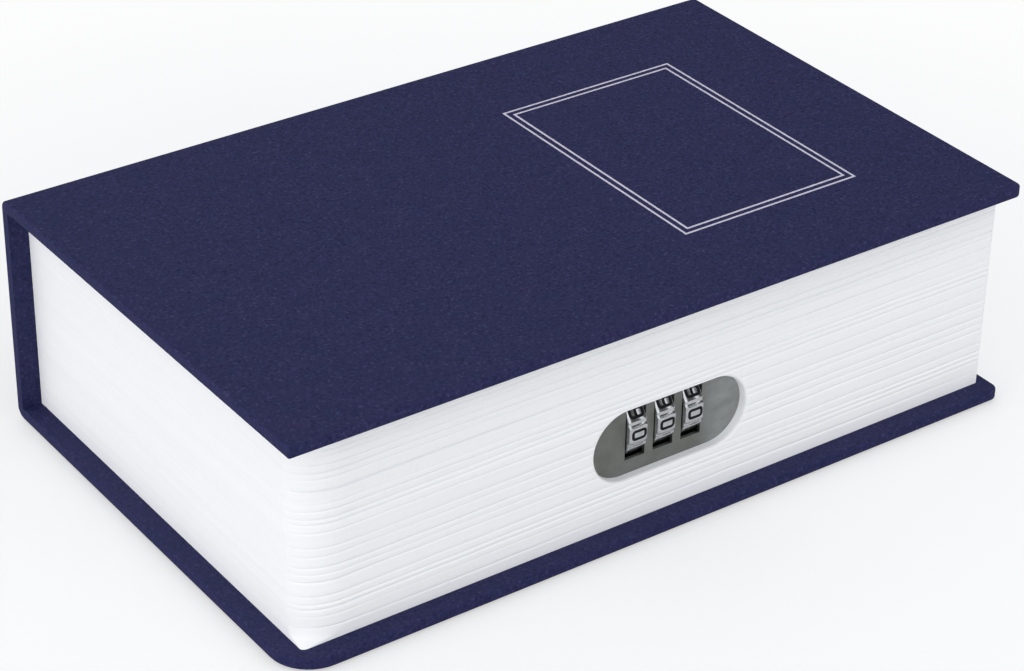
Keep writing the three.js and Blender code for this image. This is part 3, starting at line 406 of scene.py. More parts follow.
def lofted(loops, closed_profile=False):
    """Vertices and faces through loops with the same number of points, each turning left seen from the
    end. Its ends are capped, or else the last loop meets the first."""
    count = len(loops[0])
    vertices = [tuple(point) for loop in loops for point in loop]
    faces = []
    levels = len(loops)
    for level in range(levels if closed_profile else levels - 1):
        low, high = level * count, (level + 1) % levels * count
        for i in range(count):
            j = (i + 1) % count
            faces.append((low + i, low + j, high + j, high + i))
    if not closed_profile:
        faces.append(tuple(reversed(range(count))))
        faces.append(tuple(range((levels - 1) * count, levels * count)))
    return vertices, faces


def between(first, last, share):
    """The value at a share of the way from the first to the last."""
    return first + (last - first) * share


def even(start, end, steps):
    """The start and the even steps from it, without the end."""
    return [start + (end - start) * i / steps for i in range(steps)]


def quarter(steps):
    """Even angles from 0 to a right angle, in radians."""
    return [math.radians(90 * i / steps) for i in range(steps + 1)]


def arc(centre_u, centre_v, radius, start, end, steps):
    """Points round a circle from one angle to another, in degrees."""
    points = []
    for i in range(steps + 1):
        a = math.radians(start + (end - start) * i / steps)
        points.append((centre_u + radius * math.cos(a), centre_v + radius * math.sin(a)))
    return points


CORNER_STEPS = 10
# Square corners get this radius too, so that all outlines have the same number of points
LEAST_RADIUS = 0.02


def rounded(u0, u1, v0, v1, radii):
    """A rectangle with its own radius at each corner: low-low, high-low, high-high, low-high."""
    r = [max(radius, LEAST_RADIUS) for radius in radii]
    return (
        arc(u0 + r[0], v0 + r[0], r[0], 180, 270, CORNER_STEPS)
        + arc(u1 - r[1], v0 + r[1], r[1], 270, 360, CORNER_STEPS)
        + arc(u1 - r[2], v1 - r[2], r[2], 0, 90, CORNER_STEPS)
        + arc(u0 + r[3], v1 - r[3], r[3], 90, 180, CORNER_STEPS)
    )


# Covers and spine: skins with soft edges, turned in round the boards

EDGE = 0.4
EDGE_STEPS = 6
# Room over the front cover for the printed frame
PRINT_ROOM = 0.02
# A loop this far inside each rounded edge keeps the faces flat
SUPPORT = 0.08
# Corners of the front and the back cover in plan, at the tail and at the head
FRONT_CORNERS = (0.5, 1.8)
BACK_CORNERS = (9.0, 2.2)


def edge_inset(depth, radius):
    """How far a rounded edge draws an outline in at a depth below the outer face."""
    if depth >= radius:
        return 0.0
    return radius - math.sqrt(radius ** 2 - (radius - depth) ** 2)


def edge_depths(radius):
    """Depths of the loops round a rounded edge."""
    return [radius * (1 - math.sin(angle)) for angle in quarter(EDGE_STEPS)]


def wrapped_board(name, node, body, outline, place, outer_rounds, inner_rounds, cavity=(SKIN,) * 4):
    """The skin round one board. outline gives the points of its plan for four insets, and place puts a
    point of that plan, at a depth below the outer face, into the book. The rounds are the radii of the
    outer and inner edges on the four sides: low u, high u, low v, high v. cavity gives how far the board
    inside is drawn in on those sides."""
    def insets(depth):
        return [
            max(edge_inset(depth, outer), edge_inset(COVER - depth, inner))
            for outer, inner in zip(outer_rounds, inner_rounds)
        ]

    depths = {0.0, COVER}
    for radius in outer_rounds:
        depths.update(depth for depth in edge_depths(radius) if depth < COVER)
    for radius in inner_rounds:
        depths.update(COVER - depth for depth in edge_depths(radius))
    window = [TURN_IN] * 4
    stack = [(cavity, SKIN), (cavity, COVER - SKIN), (window, COVER - SKIN), (window, COVER)]
    stack.append(([inset + SUPPORT for inset in insets(COVER)], COVER))
    stack += [(insets(depth), depth) for depth in sorted(depths, reverse=True)]
    stack.append(([inset + SUPPORT for inset in insets(0)], 0.0))
    loops = [[place(u, v, depth) for u, v in outline(inset)] for inset, depth in stack]
    vertices, faces = lofted(loops)
    piece = add_piece(name, vertices, faces, navy_skin, body)
    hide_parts(node)


def cover_outline(spine_side, tail_corner, head_corner):
    """Plan of a cover, square at the spine."""
    def outline(insets):
        tail, head, fore, spine = insets
        return rounded(
            TAIL + tail, HEAD - head, FORE + fore, spine_side - spine,
            [tail_corner - tail, head_corner - head, 0, 0],
        )
    return outline


def spine_outline(insets):
    """The spine seen from behind, from the table up to the cloth joint."""
    tail, head, low, high = insets
    foot = [EDGE - max(tail, low), EDGE - max(head, low)]
    return rounded(TAIL + tail, HEAD - head, low, SPINE_TOP - high, [*foot, 0, 0])


ROUND_ENDS = [EDGE, EDGE, EDGE, 0]
wrapped_board(
    "front_cover", "front_cover_skin", "lid", cover_outline(COVER_END, *FRONT_CORNERS),
    lambda u, v, depth: (u, v, BOOK_HEIGHT - PRINT_ROOM - depth), ROUND_ENDS, ROUND_ENDS,
)
wrapped_board(
    "back_cover", "back_cover_skin", "box", cover_outline(SPINE_INNER, *BACK_CORNERS),
    lambda u, v, depth: (u, v, depth), ROUND_ENDS, ROUND_ENDS,
)
wrapped_board(
    "spine_cover", "spine_skin", "box", spine_outline,
    lambda u, v, depth: (u, SPINE - depth, v), [EDGE, EDGE, SPINE_CORNER, 0], [0, 0, 0, 0],
    (SKIN, SKIN, COVER, SKIN),
)


# Cloth joint from the spine to the front cover

# Steps round the corner, up the spine and along the cover, and the corner's radius
CLOTH_STEPS = 12
STRAIGHT_STEPS = 6
FLAT_STEPS = 4
CLOTH_CORNER = 2.0
CORNER_START, CORNER_END = BOOK_HEIGHT - CLOTH_CORNER, SPINE - CLOTH_CORNER
# The cloth is thick up to this near the page block and thin from a little nearer
THICK_GAP, THIN_GAP = 0.3, 0.29
THIN_STATIONS = 40


def cloth_section(x, end_inset, thick):
    """Edge of the cloth at x, all round: up the spine, over the corner, along the cover, and back
    inside, where it fills the corner at the ends and is thin over the box."""
    outside, top = SPINE - end_inset, BOOK_HEIGHT - end_inset
    radius = BOOK_HEIGHT - CORNER_START - end_inset
    straight = even(SPINE_TOP, CORNER_START, STRAIGHT_STEPS)
    flat = even(CORNER_END, COVER_END, FLAT_STEPS)[1:] + [COVER_END]
    outer = [(outside, v) for v in straight]
    outer += arc(CORNER_END, CORNER_START, radius, 0, 90, CLOTH_STEPS)
    outer += [(u, top) for u in flat]
    if thick:
        inner = [(SPINE_INNER, v) for v in straight]
        inner += [(SPINE_INNER, min(v, BOOK_HEIGHT - COVER)) for _, v in outer[STRAIGHT_STEPS:-FLAT_STEPS]]
        inner += [(min(u, SPINE_INNER), BOOK_HEIGHT - COVER) for u in flat]
    else:
        inner = [(SPINE - CLOTH, v) for v in straight]
        inner += arc(CORNER_END, CORNER_START, BOOK_HEIGHT - CORNER_START - CLOTH, 0, 90, CLOTH_STEPS)
        inner += [(u, BOOK_HEIGHT - CLOTH) for u in flat]
    return [(x, u, v) for u, v in outer + inner[::-1]]


def cloth_stations():
    """Place along X, inset of the edge and thickness of each section."""
    ends = [(TAIL + depth, edge_inset(depth, EDGE)) for depth in sorted(edge_depths(EDGE))]
    stations = [(x, inset, True) for x, inset in ends]
    stations += [(BLOCK_TAIL - THICK_GAP, 0, True), (BLOCK_TAIL - THIN_GAP, 0, False)]
    stations += [(x, 0, False) for x in even(BLOCK_TAIL, BLOCK_HEAD, THIN_STATIONS)]
    stations += [(BLOCK_HEAD, 0, False), (BLOCK_HEAD + THIN_GAP, 0, False), (BLOCK_HEAD + THICK_GAP, 0, True)]
    stations += [(-x, inset, True) for x, inset in reversed(ends)]
    return stations


cloth_vertices, cloth_faces = lofted([cloth_section(*station) for station in cloth_stations()])
cloth_faces = [tuple(reversed(face)) for face in cloth_faces]
cloth = add_piece("joint_cloth", cloth_vertices, cloth_faces, navy_cloth, None)
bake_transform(cloth)
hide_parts("hinge_cloth")


# Page block: moulded page lines, never quite straight, round three sides

# Number, depth and half width of the lines
LINE_COUNT = 22
LINE_DEPTH = 0.27
LINE_HALF = 0.23
# Uneven gaps and strengths: the mean, and how far the noise moves it. The other plain numbers in the
# calls of wander only pick a place in the noise.
GAP_SWING = 1.1
MEAN_STRENGTH, STRENGTH_SWING = 0.8, 0.9
MEAN_PATCH, PATCH_SWING = 0.9, 0.9
# How far and how quickly the lines wander along the three sides
LINE_WANDER = 0.7
SLOW_WAVE, QUICK_WAVE, QUICK_SHARE = 0.011, 0.09, 0.2
PATCH_WAVE = 0.02
LEAST_GAP = 1.2
# Strength at the foot, on the tail and head sides, and at the tail corner, from where it fades
FOOT_STRENGTH = 0.6
SIDE_STRENGTH, CORNER_STRENGTH, FORE_STRENGTH = 0.12, 1.5, 1.0
CORNER_FADE = 6.0
# Rows of points across a line, in half widths, and between two lines
GROOVE_ROWS = (-2.2, -1.5, -1.0, -0.6, -0.25, 0.0, 0.25, 0.6, 1.0, 1.5, 2.2)
ROWS_BETWEEN = 3
# Rounded rim of the opening, how far the plug that cuts it stands out at both ends, and rounded top edge
LIP, LIP_STEPS, OPENING_STEPS = 0.6, 8, 32
PLUG_ENDS = 1.0
TOP_LIP, TOP_LIP_ROWS = 0.45, 6
# Columns of points: spacing along each side, first gap after a corner, and number round the corners
SIDE_STEP, FADE_STEP, FORE_STEP = 3.0, 1.0, 1.5
CORNER_GAP = 1.0
TAIL_COLUMNS, HEAD_COLUMNS = 24, 6


def wander(*place):
    """Smooth noise at a place, about -1 to 1."""
    return noise.noise(Vector(place))


def page_lines():
    """Height and strength of each line, at uneven gaps."""
    gaps = [1 + GAP_SWING * wander(i * 3.7, 1.3, 0.0) for i in range(LINE_COUNT + 1)]
    span = BLOCK_TOP - TOP_LIP - COVER
    lines, height = [], COVER
    for i in range(LINE_COUNT):
        height += span * gaps[i] / sum(gaps)
        strength = MEAN_STRENGTH + STRENGTH_SWING * wander(i * 1.9, 7.1, 2.0)
        lines.append((height, strength * between(FOOT_STRENGTH, 1, i / LINE_COUNT)))
    return lines


LINES = page_lines()


def line_places(s):
    """Height and depth of every line at distance s along the three sides."""
    places, last = [], COVER
    for i, (height, strength) in enumerate(LINES):
        wave = wander(s * SLOW_WAVE, i * 5.3, 0.0) + QUICK_SHARE * wander(s * QUICK_WAVE, i * 2.1, 9.0)
        patch = MEAN_PATCH + PATCH_SWING * wander(s * PATCH_WAVE, i * 9.7, 4.0)
        last = max(height + LINE_WANDER * wave, last + LEAST_GAP)
        places.append((last, LINE_DEPTH * strength * patch))
    return places


def page_rows(s):
    """Heights of the rows of points at distance s, close together in each line, and the lines' depth
    there."""
    places = line_places(s)
    heights, last = [], COVER
    for height, _ in places:
        rows = [height + offset * LINE_HALF for offset in GROOVE_ROWS]
        heights += even(last, rows[0], ROWS_BETWEEN) + rows[:-1]
        last = rows[-1]
    shoulder = BLOCK_TOP - TOP_LIP
    heights += even(last, shoulder, ROWS_BETWEEN)
    heights += [shoulder + TOP_LIP * math.sin(angle) for angle in quarter(TOP_LIP_ROWS)]
    heights = np.array(heights)
    depths = np.zeros(len(heights))
    for height, depth in places:
        depths += depth * np.exp(-((heights - height) / LINE_HALF) ** 2)
    return heights, depths


def tail_share(heights):
    """Share of the tail corner's full size. It is small at the foot and soon grows."""
    rise = np.clip((heights - COVER) / BASE_RISE, 0, 1)
    return between(BASE_SHARE, 1, np.sqrt(1 - (1 - rise) ** 2))


def page_columns():
    """Columns along the three sides. Each gives its place if the tail corner were square, how far the full
    corner moves it, the place behind it inside the block, its outward direction and the strength of the
    lines."""
    columns = []

    def add(x, y, out, strength):
        """A column away from the tail corner."""
        inner = (x - out[0] * BLOCK_WALL, y - out[1] * BLOCK_WALL)
        columns.append(((x, y), (0, 0), inner, out, strength))

    def straight(start, end, step, out, strengths):
        steps = max(round(math.dist(start, end) / step), 1)
        for i in range(steps):
            x, y = (between(*ends, i / steps) for ends in zip(start, end))
            add(x, y, out, between(*strengths, i / steps))

    def tail_corner(steps, strengths):
        for i, turn in enumerate(quarter(steps)):
            angle = math.atan2(CORNER_ACROSS * math.sin(turn), CORNER_ALONG * math.cos(turn))
            along, across = 1 - math.cos(angle), 1 - math.sin(angle)
            inner = (
                BLOCK_TAIL + BLOCK_WALL + INNER_CORNER * along,
                BLOCK_FORE + BLOCK_WALL + INNER_CORNER * across,
            )
            move = (CORNER_ALONG * along, CORNER_ACROSS * across)
            out = (-math.cos(turn), -math.sin(turn))
            strength = between(*strengths, (i / steps) ** 2)
            columns.append(((BLOCK_TAIL, BLOCK_FORE), move, inner, out, strength))

    def head_corner(steps, strengths):
        for x, y in arc(BLOCK_HEAD - HEAD_CORNER, BLOCK_FORE + HEAD_CORNER, HEAD_CORNER, 270, 360, steps):
            out = ((x - BLOCK_HEAD) / HEAD_CORNER + 1, (y - BLOCK_FORE) / HEAD_CORNER - 1)
            add(x, y, out, between(*strengths, out[0]))

    soft, strong, full = SIDE_STRENGTH, CORNER_STRENGTH, FORE_STRENGTH
    tail_end = (BLOCK_TAIL, BLOCK_FORE + CORNER_ACROSS)
    fore_start = (BLOCK_TAIL + CORNER_ALONG + CORNER_GAP, BLOCK_FORE)
    fade_end = (BLOCK_TAIL + CORNER_ALONG + CORNER_FADE, BLOCK_FORE)
    fore_end = (BLOCK_HEAD - HEAD_CORNER, BLOCK_FORE)
    head_start = (BLOCK_HEAD, BLOCK_FORE + HEAD_CORNER + CORNER_GAP)
    straight((BLOCK_TAIL, SPINE_INNER), tail_end, SIDE_STEP, (-1, 0), (soft, soft))
    tail_corner(TAIL_COLUMNS, (soft, strong))
    straight(fore_start, fade_end, FADE_STEP, (0, -1), (strong, full))
    straight(fade_end, fore_end, FORE_STEP, (0, -1), (full, full))
    head_corner(HEAD_COLUMNS, (full, soft))
    straight(head_start, (BLOCK_HEAD, SPINE_INNER), SIDE_STEP, (1, 0), (soft, soft))
    add(BLOCK_HEAD, SPINE_INNER, (1, 0), soft)
    return columns


def page_loops():
    """Closed loops up the outside of the block and down its inside, one for each column."""
    top_knuckle = math.sqrt(max(KNUCKLE_RADIUS ** 2 - (BLOCK_TOP - PIN_Z) ** 2, 0))
    loops, s, last = [], 0.0, None
    for place, move, inner, out, strength in page_columns():
        middle = (place[0] + move[0], place[1] + move[1])
        s += math.dist(middle, last) if last else 0.0
        last = middle
        heights, depths = page_rows(s)
        share = tail_share(heights)
        x, y = place[0] + share * move[0], place[1] + share * move[1]
        edge = np.clip(heights - (BLOCK_TOP - TOP_LIP), 0, TOP_LIP)
        top_draw = TOP_LIP - np.sqrt(TOP_LIP ** 2 - edge ** 2)
        draw = np.maximum(depths * strength, top_draw)
        knuckle = np.sqrt(np.maximum(KNUCKLE_RADIUS ** 2 - np.maximum(heights - PIN_Z, 0) ** 2, 0))
        drawn_y = y - out[1] * draw
        drawn_y = np.where(y > PIN_Y, np.minimum(drawn_y, PIN_Y + knuckle), drawn_y)
        points = list(zip((x - out[0] * draw).tolist(), drawn_y.tolist(), heights.tolist()))
        inner_x = min(inner[0], BLOCK_HEAD - BLOCK_WALL)
        inner_y = max(inner[1], BLOCK_FORE + BLOCK_WALL)
        points.append((inner_x, min(inner_y, PIN_Y + top_knuckle), BLOCK_TOP))
        points.append((inner_x, inner_y, PIN_Z))
        points.append((inner_x, inner_y, COVER))
        loops.append(points)
    return loops


def opening_outline(grow):
    """Edge of the lock's opening in the fore-edge, grown outward."""
    centre_x, centre_z, length, height = OPENING
    straight, radius = (length - height) / 2, height / 2 + grow
    right = arc(centre_x + straight, centre_z, radius, -90, 90, OPENING_STEPS)
    return right + arc(centre_x - straight, centre_z, radius, 90, 270, OPENING_STEPS)


def cut_opening(piece):
    """Cut the opening with a plug that flares towards the front, which leaves a rounded lip."""
    stations = [(BLOCK_FORE + BLOCK_WALL + PLUG_ENDS, 0.0), (BLOCK_FORE + LIP, 0.0)]
    for angle in quarter(LIP_STEPS)[1:]:
        stations.append((BLOCK_FORE + LIP * (1 - math.sin(angle)), LIP * (1 - math.cos(angle))))
    stations.append((BLOCK_FORE - PLUG_ENDS, LIP))
    vertices, faces = lofted([[(u, y, v) for u, v in opening_outline(grow)] for y, grow in stations])
    cutter = mesh_object("cutter", vertices, faces)
    boolean = piece.modifiers.new("opening", "BOOLEAN")
    boolean.operation = "DIFFERENCE"
    boolean.object = cutter
    boolean.solver = "EXACT"
    graph = bpy.context.evaluated_depsgraph_get()
    done = bpy.data.meshes.new_from_object(piece.evaluated_get(graph))
    piece.modifiers.clear()
    piece.data = done
    bpy.data.objects.remove(cutter)


page_vertices, page_faces = lofted(page_loops())
pages = add_piece("pages", page_vertices, page_faces, white_pages, None, smooth=40)
cut_opening(pages)
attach(pages, "box")
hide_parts("page_block")


# Double rule printed on the front cover

# Edges of each rule: low X, high X, low Y, high Y
RULES = ((18.0, 63.3, -33.7, 31.0), (19.65, 61.65, -32.05, 29.35))
RULE_WIDTH = 0.5
# The print stays just below the book's full height and reaches into the cover
RULE_BELOW, RULE_DEPTH = 0.005, 0.05
RULE_TOP = BOOK_HEIGHT - RULE_BELOW
RULE_FOOT = RULE_TOP - RULE_DEPTH


def rule_piece(name, x0, x1, y0, y1):
    """A flat frame, through its outer and inner edges."""
    loops = []
    for inset, z in ((0, RULE_FOOT), (0, RULE_TOP), (RULE_WIDTH, RULE_TOP), (RULE_WIDTH, RULE_FOOT)):
        low_x, high_x, low_y, high_y = x0 + inset, x1 - inset, y0 + inset, y1 - inset
        loops.append([(low_x, low_y, z), (high_x, low_y, z), (high_x, high_y, z), (low_x, high_y, z)])
    vertices, faces = lofted(loops, closed_profile=True)
    add_piece(name, vertices, faces, foil, "lid", smooth=20)


for number, edges in enumerate(RULES):
    rule_piece(f"rule_{number}", *edges)


# Number wheels

FACET_ANGLE = 360 / FACETS
# The first flat side faces the fore-edge
FIRST_ANGLE = 180
# Points of half a flat side: how far each lies past the groove's edge, and its rise. One more lies
# further in, at a share of the half.
GROOVE = 1.25
FLAT_EDGE = ((0.06, -0.12), (-0.02, -0.04), (-0.16, 0.0))
FLAT_INNER = 0.4
# Half of a groove's bottom, with the rise at its foot
GROOVE_DEPTH = 0.5
GROOVE_HALF = [(0.42, 0.03), (0.36, 0.0)]
BEVEL, BEVEL_STEPS = 0.45, 5
# How far the flats bulge, and steps along them
CROWN, CROWN_STEPS = 0.12, 12
# Radius of the bore
BORE = 4.95


def crown_inset(x):
    """Each flat side bulges a little along the wheel's width."""
    return CROWN * (2 * x / WHEEL_WIDTH) ** 2


def both_halves(half):
    """Points along a side, from those of one half given from its end inwards."""
    return [(-along, rise) for along, rise in half] + half[::-1]


def wheel_section(x, inset):
    """Ten flat sides with softened edges and a groove between each two."""
    flat_radius = WHEEL_RADIUS * math.cos(math.radians(FACET_ANGLE / 2)) - inset
    flat_half = WHEEL_RADIUS * math.sin(math.radians(FACET_ANGLE / 2)) - GROOVE / 2
    half = [(flat_half + past, rise) for past, rise in FLAT_EDGE] + [(flat_half * FLAT_INNER, 0.0)]
    flat, groove = both_halves(half), both_halves(GROOVE_HALF)
    groove_radius = WHEEL_RADIUS - GROOVE_DEPTH - inset
    points = []
    for side in range(FACETS):
        for turn, radius, profile in ((side, flat_radius, flat), (side + 0.5, groove_radius, groove)):
            angle = math.radians(FIRST_ANGLE + turn * FACET_ANGLE)
            out = Vector((math.cos(angle), math.sin(angle)))
            around = Vector((-math.sin(angle), math.cos(angle)))
            points += [out * (radius + rise) + around * along for along, rise in profile]
    return [(x, p.x, p.y) for p in points]


def wheel_mesh():
    """One wheel round its own middle: bevelled ends, crowned flats and a plain bore."""
    half = WHEEL_WIDTH / 2
    stations = []
    for angle in quarter(BEVEL_STEPS)[:-1]:
        stations.append((-half + BEVEL * (1 - math.cos(angle)), BEVEL * (1 - math.sin(angle))))
    bevel_end = half - BEVEL
    stations += [(x, 0.0) for x in even(-bevel_end, bevel_end, CROWN_STEPS)] + [(bevel_end, 0.0)]
    stations += [(-x, inset) for x, inset in reversed(stations[:BEVEL_STEPS])]
    loops = [wheel_section(x, inset + crown_inset(x)) for x, inset in stations]
    for x in (half, -half):
        rays = [Vector(point[1:]).normalized() * BORE for point in loops[0]]
        loops.append([(x, ray.x, ray.y) for ray in rays])
    return lofted(loops, closed_profile=True)


# Numbers as strokes on a grid: 0 to 1 across and 0 to 1 up. Their corners are rounded later.
BOX = [(0, 0), (1, 0), (1, 1), (0, 1)]
STROKES = {
    0: [("closed", BOX)],
    1: [("open", [(0.15, 0.78), (0.55, 1), (0.55, 0)])],
    2: [("open", [(0, 0.78), (0, 1), (1, 1), (1, 0.58), (0, 0.2), (0, 0), (1, 0)])],
    3: [("open", [(0, 1), (1, 1), (0.5, 0.6), (1, 0.6), (1, 0), (0, 0), (0, 0.2)])],
    4: [("open", [(0.75, 0), (0.75, 1), (0, 0.28), (1, 0.28)])],
    5: [("open", [(0.95, 1), (0, 1), (0, 0.58), (1, 0.58), (1, 0), (0, 0), (0, 0.15)])],
    6: [("closed", [(u, v * 0.56) for u, v in BOX]), ("open", [(0, 0.3), (0, 1), (0.95, 1)])],
    7: [("open", [(0, 1), (1, 1), (0.35, 0)])],
    8: [
        ("closed", [(u, v * 0.54) for u, v in BOX]),
        ("closed", [(0.06 + u * 0.88, 0.54 + v * 0.46) for u, v in BOX]),
    ],
    9: [("closed", [(u, 0.44 + v * 0.56) for u, v in BOX]), ("open", [(1, 0.7), (1, 0), (0.05, 0)])],
}
# Size of a number between the middles of its strokes, width of a stroke, and longest step along one
NUMBER_TALL = 3.05
NUMBER_WIDE = 1.8
STROKE = 0.64
STROKE_STEP = 0.4
# Rounded corners. None takes more of a line than its length over the limit.
STROKE_ROUND, ROUND_STEPS, ROUND_LIMIT = 0.6, 5, 2.2
# A stroke grows at a bend, at most to this many times its width
MOST_STRETCH = 2
# The ink stands this proud of the flats and has this depth
INK_RISE = 0.02
INK_DEPTH = 0.1


def stroke_line(grid, closed):
    """Points along a stroke in millimetres, with rounded corners and short steps."""
    corners = [Vector(((u - 0.5) * NUMBER_WIDE, (v - 0.5) * NUMBER_TALL)) for u, v in grid]
    points = []
    for i, corner in enumerate(corners):
        if not closed and i in (0, len(corners) - 1):
            points.append(corner)
            continue
        before, after = corners[i - 1] - corner, corners[(i + 1) % len(corners)] - corner
        start = corner + before.normalized() * min(STROKE_ROUND, before.length / ROUND_LIMIT)
        end = corner + after.normalized() * min(STROKE_ROUND, after.length / ROUND_LIMIT)
        for j in range(ROUND_STEPS + 1):
            t = j / ROUND_STEPS
            points.append(start * (1 - t) ** 2 + corner * 2 * t * (1 - t) + end * t ** 2)
    line = []
    for i, point in enumerate(points):
        line.append(point)
        if closed or i + 1 < len(points):
            after = points[(i + 1) % len(points)]
            pieces = max(math.ceil((after - point).length / STROKE_STEP), 1)
            line += [point.lerp(after, j / pieces) for j in range(1, pieces)]
    return line


def ribbon(points, width, closed):
    """Two rails beside a line of points, for a stroke of a number."""
    count = len(points)
    rails = []
    for i, point in enumerate(points):
        ways = []
        if i or closed:
            ways.append((point - points[i - 1]).normalized())
        if i + 1 < count or closed:
            ways.append((points[(i + 1) % count] - point).normalized())
        way = sum(ways, Vector((0, 0))).normalized()
        side = Vector((-way.y, way.x))
        stretch = 1 / max(side.dot(Vector((-ways[0].y, ways[0].x))), 1 / MOST_STRETCH)
        rails.append((point + side * width / 2 * stretch, point - side * width / 2 * stretch))
    return rails


def numbers_mesh():
    """The numbers 0 to 9 round a wheel, their tops towards the head of the book."""
    vertices, faces = [], []
    flat_radius = WHEEL_RADIUS * math.cos(math.pi / FACETS) + INK_RISE
    for number, strokes in STROKES.items():
        angle = math.radians(FIRST_ANGLE + number * FACET_ANGLE)
        out = Vector((0, math.cos(angle), math.sin(angle)))
        right = Vector((0, -math.sin(angle), math.cos(angle)))
        up = Vector((1, 0, 0))
        for kind, grid in strokes:
            closed = kind == "closed"
            rails = ribbon(stroke_line(grid, closed), STROKE, closed)
            first = len(vertices)
            for rail in rails:
                for depth in (0, INK_DEPTH):
                    for point in rail:
                        radius = flat_radius - crown_inset(point.y) - depth
                        vertices.append(tuple(out * radius + right * point.x + up * point.y))
            count = len(rails)
            for i in range(count if closed else count - 1):
                a, b = first + i * 4, first + (i + 1) % count * 4
                faces.append((a, a + 1, b + 1, b))
                faces.append((a + 2, a, b, b + 2))
                faces.append((a + 1, a + 3, b + 3, b + 1))
                faces.append((a + 3, a + 2, b + 2, b + 3))
            if not closed:
                a, b = first, first + (count - 1) * 4
                faces.append((a, a + 2, a + 3, a + 1))
                faces.append((b, b + 1, b + 3, b + 2))
    return vertices, faces


def placed(vertices, x):
    """Vertices of a wheel moved to its place in the lock."""
    return [(v[0] + x, v[1] + WHEEL_Y, v[2] + WHEEL_Z) for v in vertices]


wheel_vertices, wheel_faces = wheel_mesh()
ink_vertices, ink_faces = numbers_mesh()
for place, x in zip(("tail", "middle", "head"), WHEEL_X):
    body = f"wheel_{place}"
    wheel_points, ink_points = placed(wheel_vertices, x), placed(ink_vertices, x)
    wheel = add_piece(f"{body}_chrome", wheel_points, wheel_faces, chrome, body, smooth=30)
    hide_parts(f"number_wheel_{place}")
    add_piece(f"numbers_{place}", ink_points, ink_faces, ink, body, smooth=20)


# Coil springs of the latch and the spindle

# Steps round a turn of the coil, and sides of the wire
COIL_STEPS = 20
WIRE_SIDES = 10
# Each coil's size, and where it starts
LATCH_COIL = {"length": 8.7, "radius": 1.45, "wire": 0.6, "turns": 6}
LATCH_COIL_X = {"tail": -12.8, "head": 15.8}
LATCH_COIL_Y, LATCH_COIL_Z = -41.7, 30.7
SPINDLE_COIL = {"length": 4.5, "radius": 2.65, "wire": 0.5, "turns": 3.5}
SPINDLE_COIL_X = 13.45


def coil_loops(length, radius, wire, turns):
    """Rings of points round the wire of a coil along X."""
    steps = round(turns * COIL_STEPS)
    rise = length - wire
    ring = [2 * math.pi * corner / WIRE_SIDES for corner in range(WIRE_SIDES)]
    loops = []
    for step in range(steps + 1):
        angle = 2 * math.pi * turns * step / steps
        radial = Vector((0, math.cos(angle), math.sin(angle)))
        tangent = Vector((rise / (2 * math.pi * turns), -radius * math.sin(angle), radius * math.cos(angle)))
        side = tangent.normalized().cross(radial)
        centre = radial * radius + Vector((wire / 2 + rise * step / steps, 0, 0))
        loops.append([centre + (radial * math.cos(turn) + side * math.sin(turn)) * wire / 2 for turn in ring])
    return loops


def add_spring(node, loops):
    """A spring of coiled wire that rides on the box, in place of its CAD node."""
    vertices, faces = lofted(loops)
    spring = add_piece(f"{node}_wire", vertices, faces, steel, "box", smooth=60)
    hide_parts(node)
    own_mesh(spring)


for place, x in LATCH_COIL_X.items():
    start = Vector((x, LATCH_COIL_Y, LATCH_COIL_Z))
    turned = [[start + Vector((-p.y, p.x, p.z)) for p in loop] for loop in coil_loops(**LATCH_COIL)]
    add_spring(f"latch_spring_{place}", turned)

start = Vector((SPINDLE_COIL_X, WHEEL_Y, WHEEL_Z))
moved = [[start + p for p in loop] for loop in coil_loops(**SPINDLE_COIL)]
add_spring("spindle_spring", moved)


# Table, light and background. Sizes from here on are in metres.

FLOOR_HALF, FLOOR_LEVEL = 3.0, -0.0005
# The table fades to white between these distances. It is part white even under the book.
FADE_START, FADE_END, FADE_LEAST = 0.11, 0.32, 0.45
# Strength of the light from all round
SKY = 0.90
# The room that metal mirrors, by the direction seen: the tail side by X, overhead by Z, and a strip that
# stands this way from the book. Each pair is where the edge starts and ends.
ROOM_BRIGHT, ROOM_DARK = 1.05, 0.09
TAIL_SIDE_EDGE = (-0.42, -0.05)
OVERHEAD_EDGE = (0.70, 0.85)
STRIP_X, STRIP_Y = 0.613, 0.790
STRIP_EDGE = (0.025, 0.05)
# Round lamps: each one's place and power
LAMP_SIZE = 0.8
LAMP_AIM = (0, 0, 0.02)
LAMPS = {"tail_side": ((-1.25, -0.25, 0.12), 7.9), "front": ((0.45, -1.15, 0.12), 4.0)}


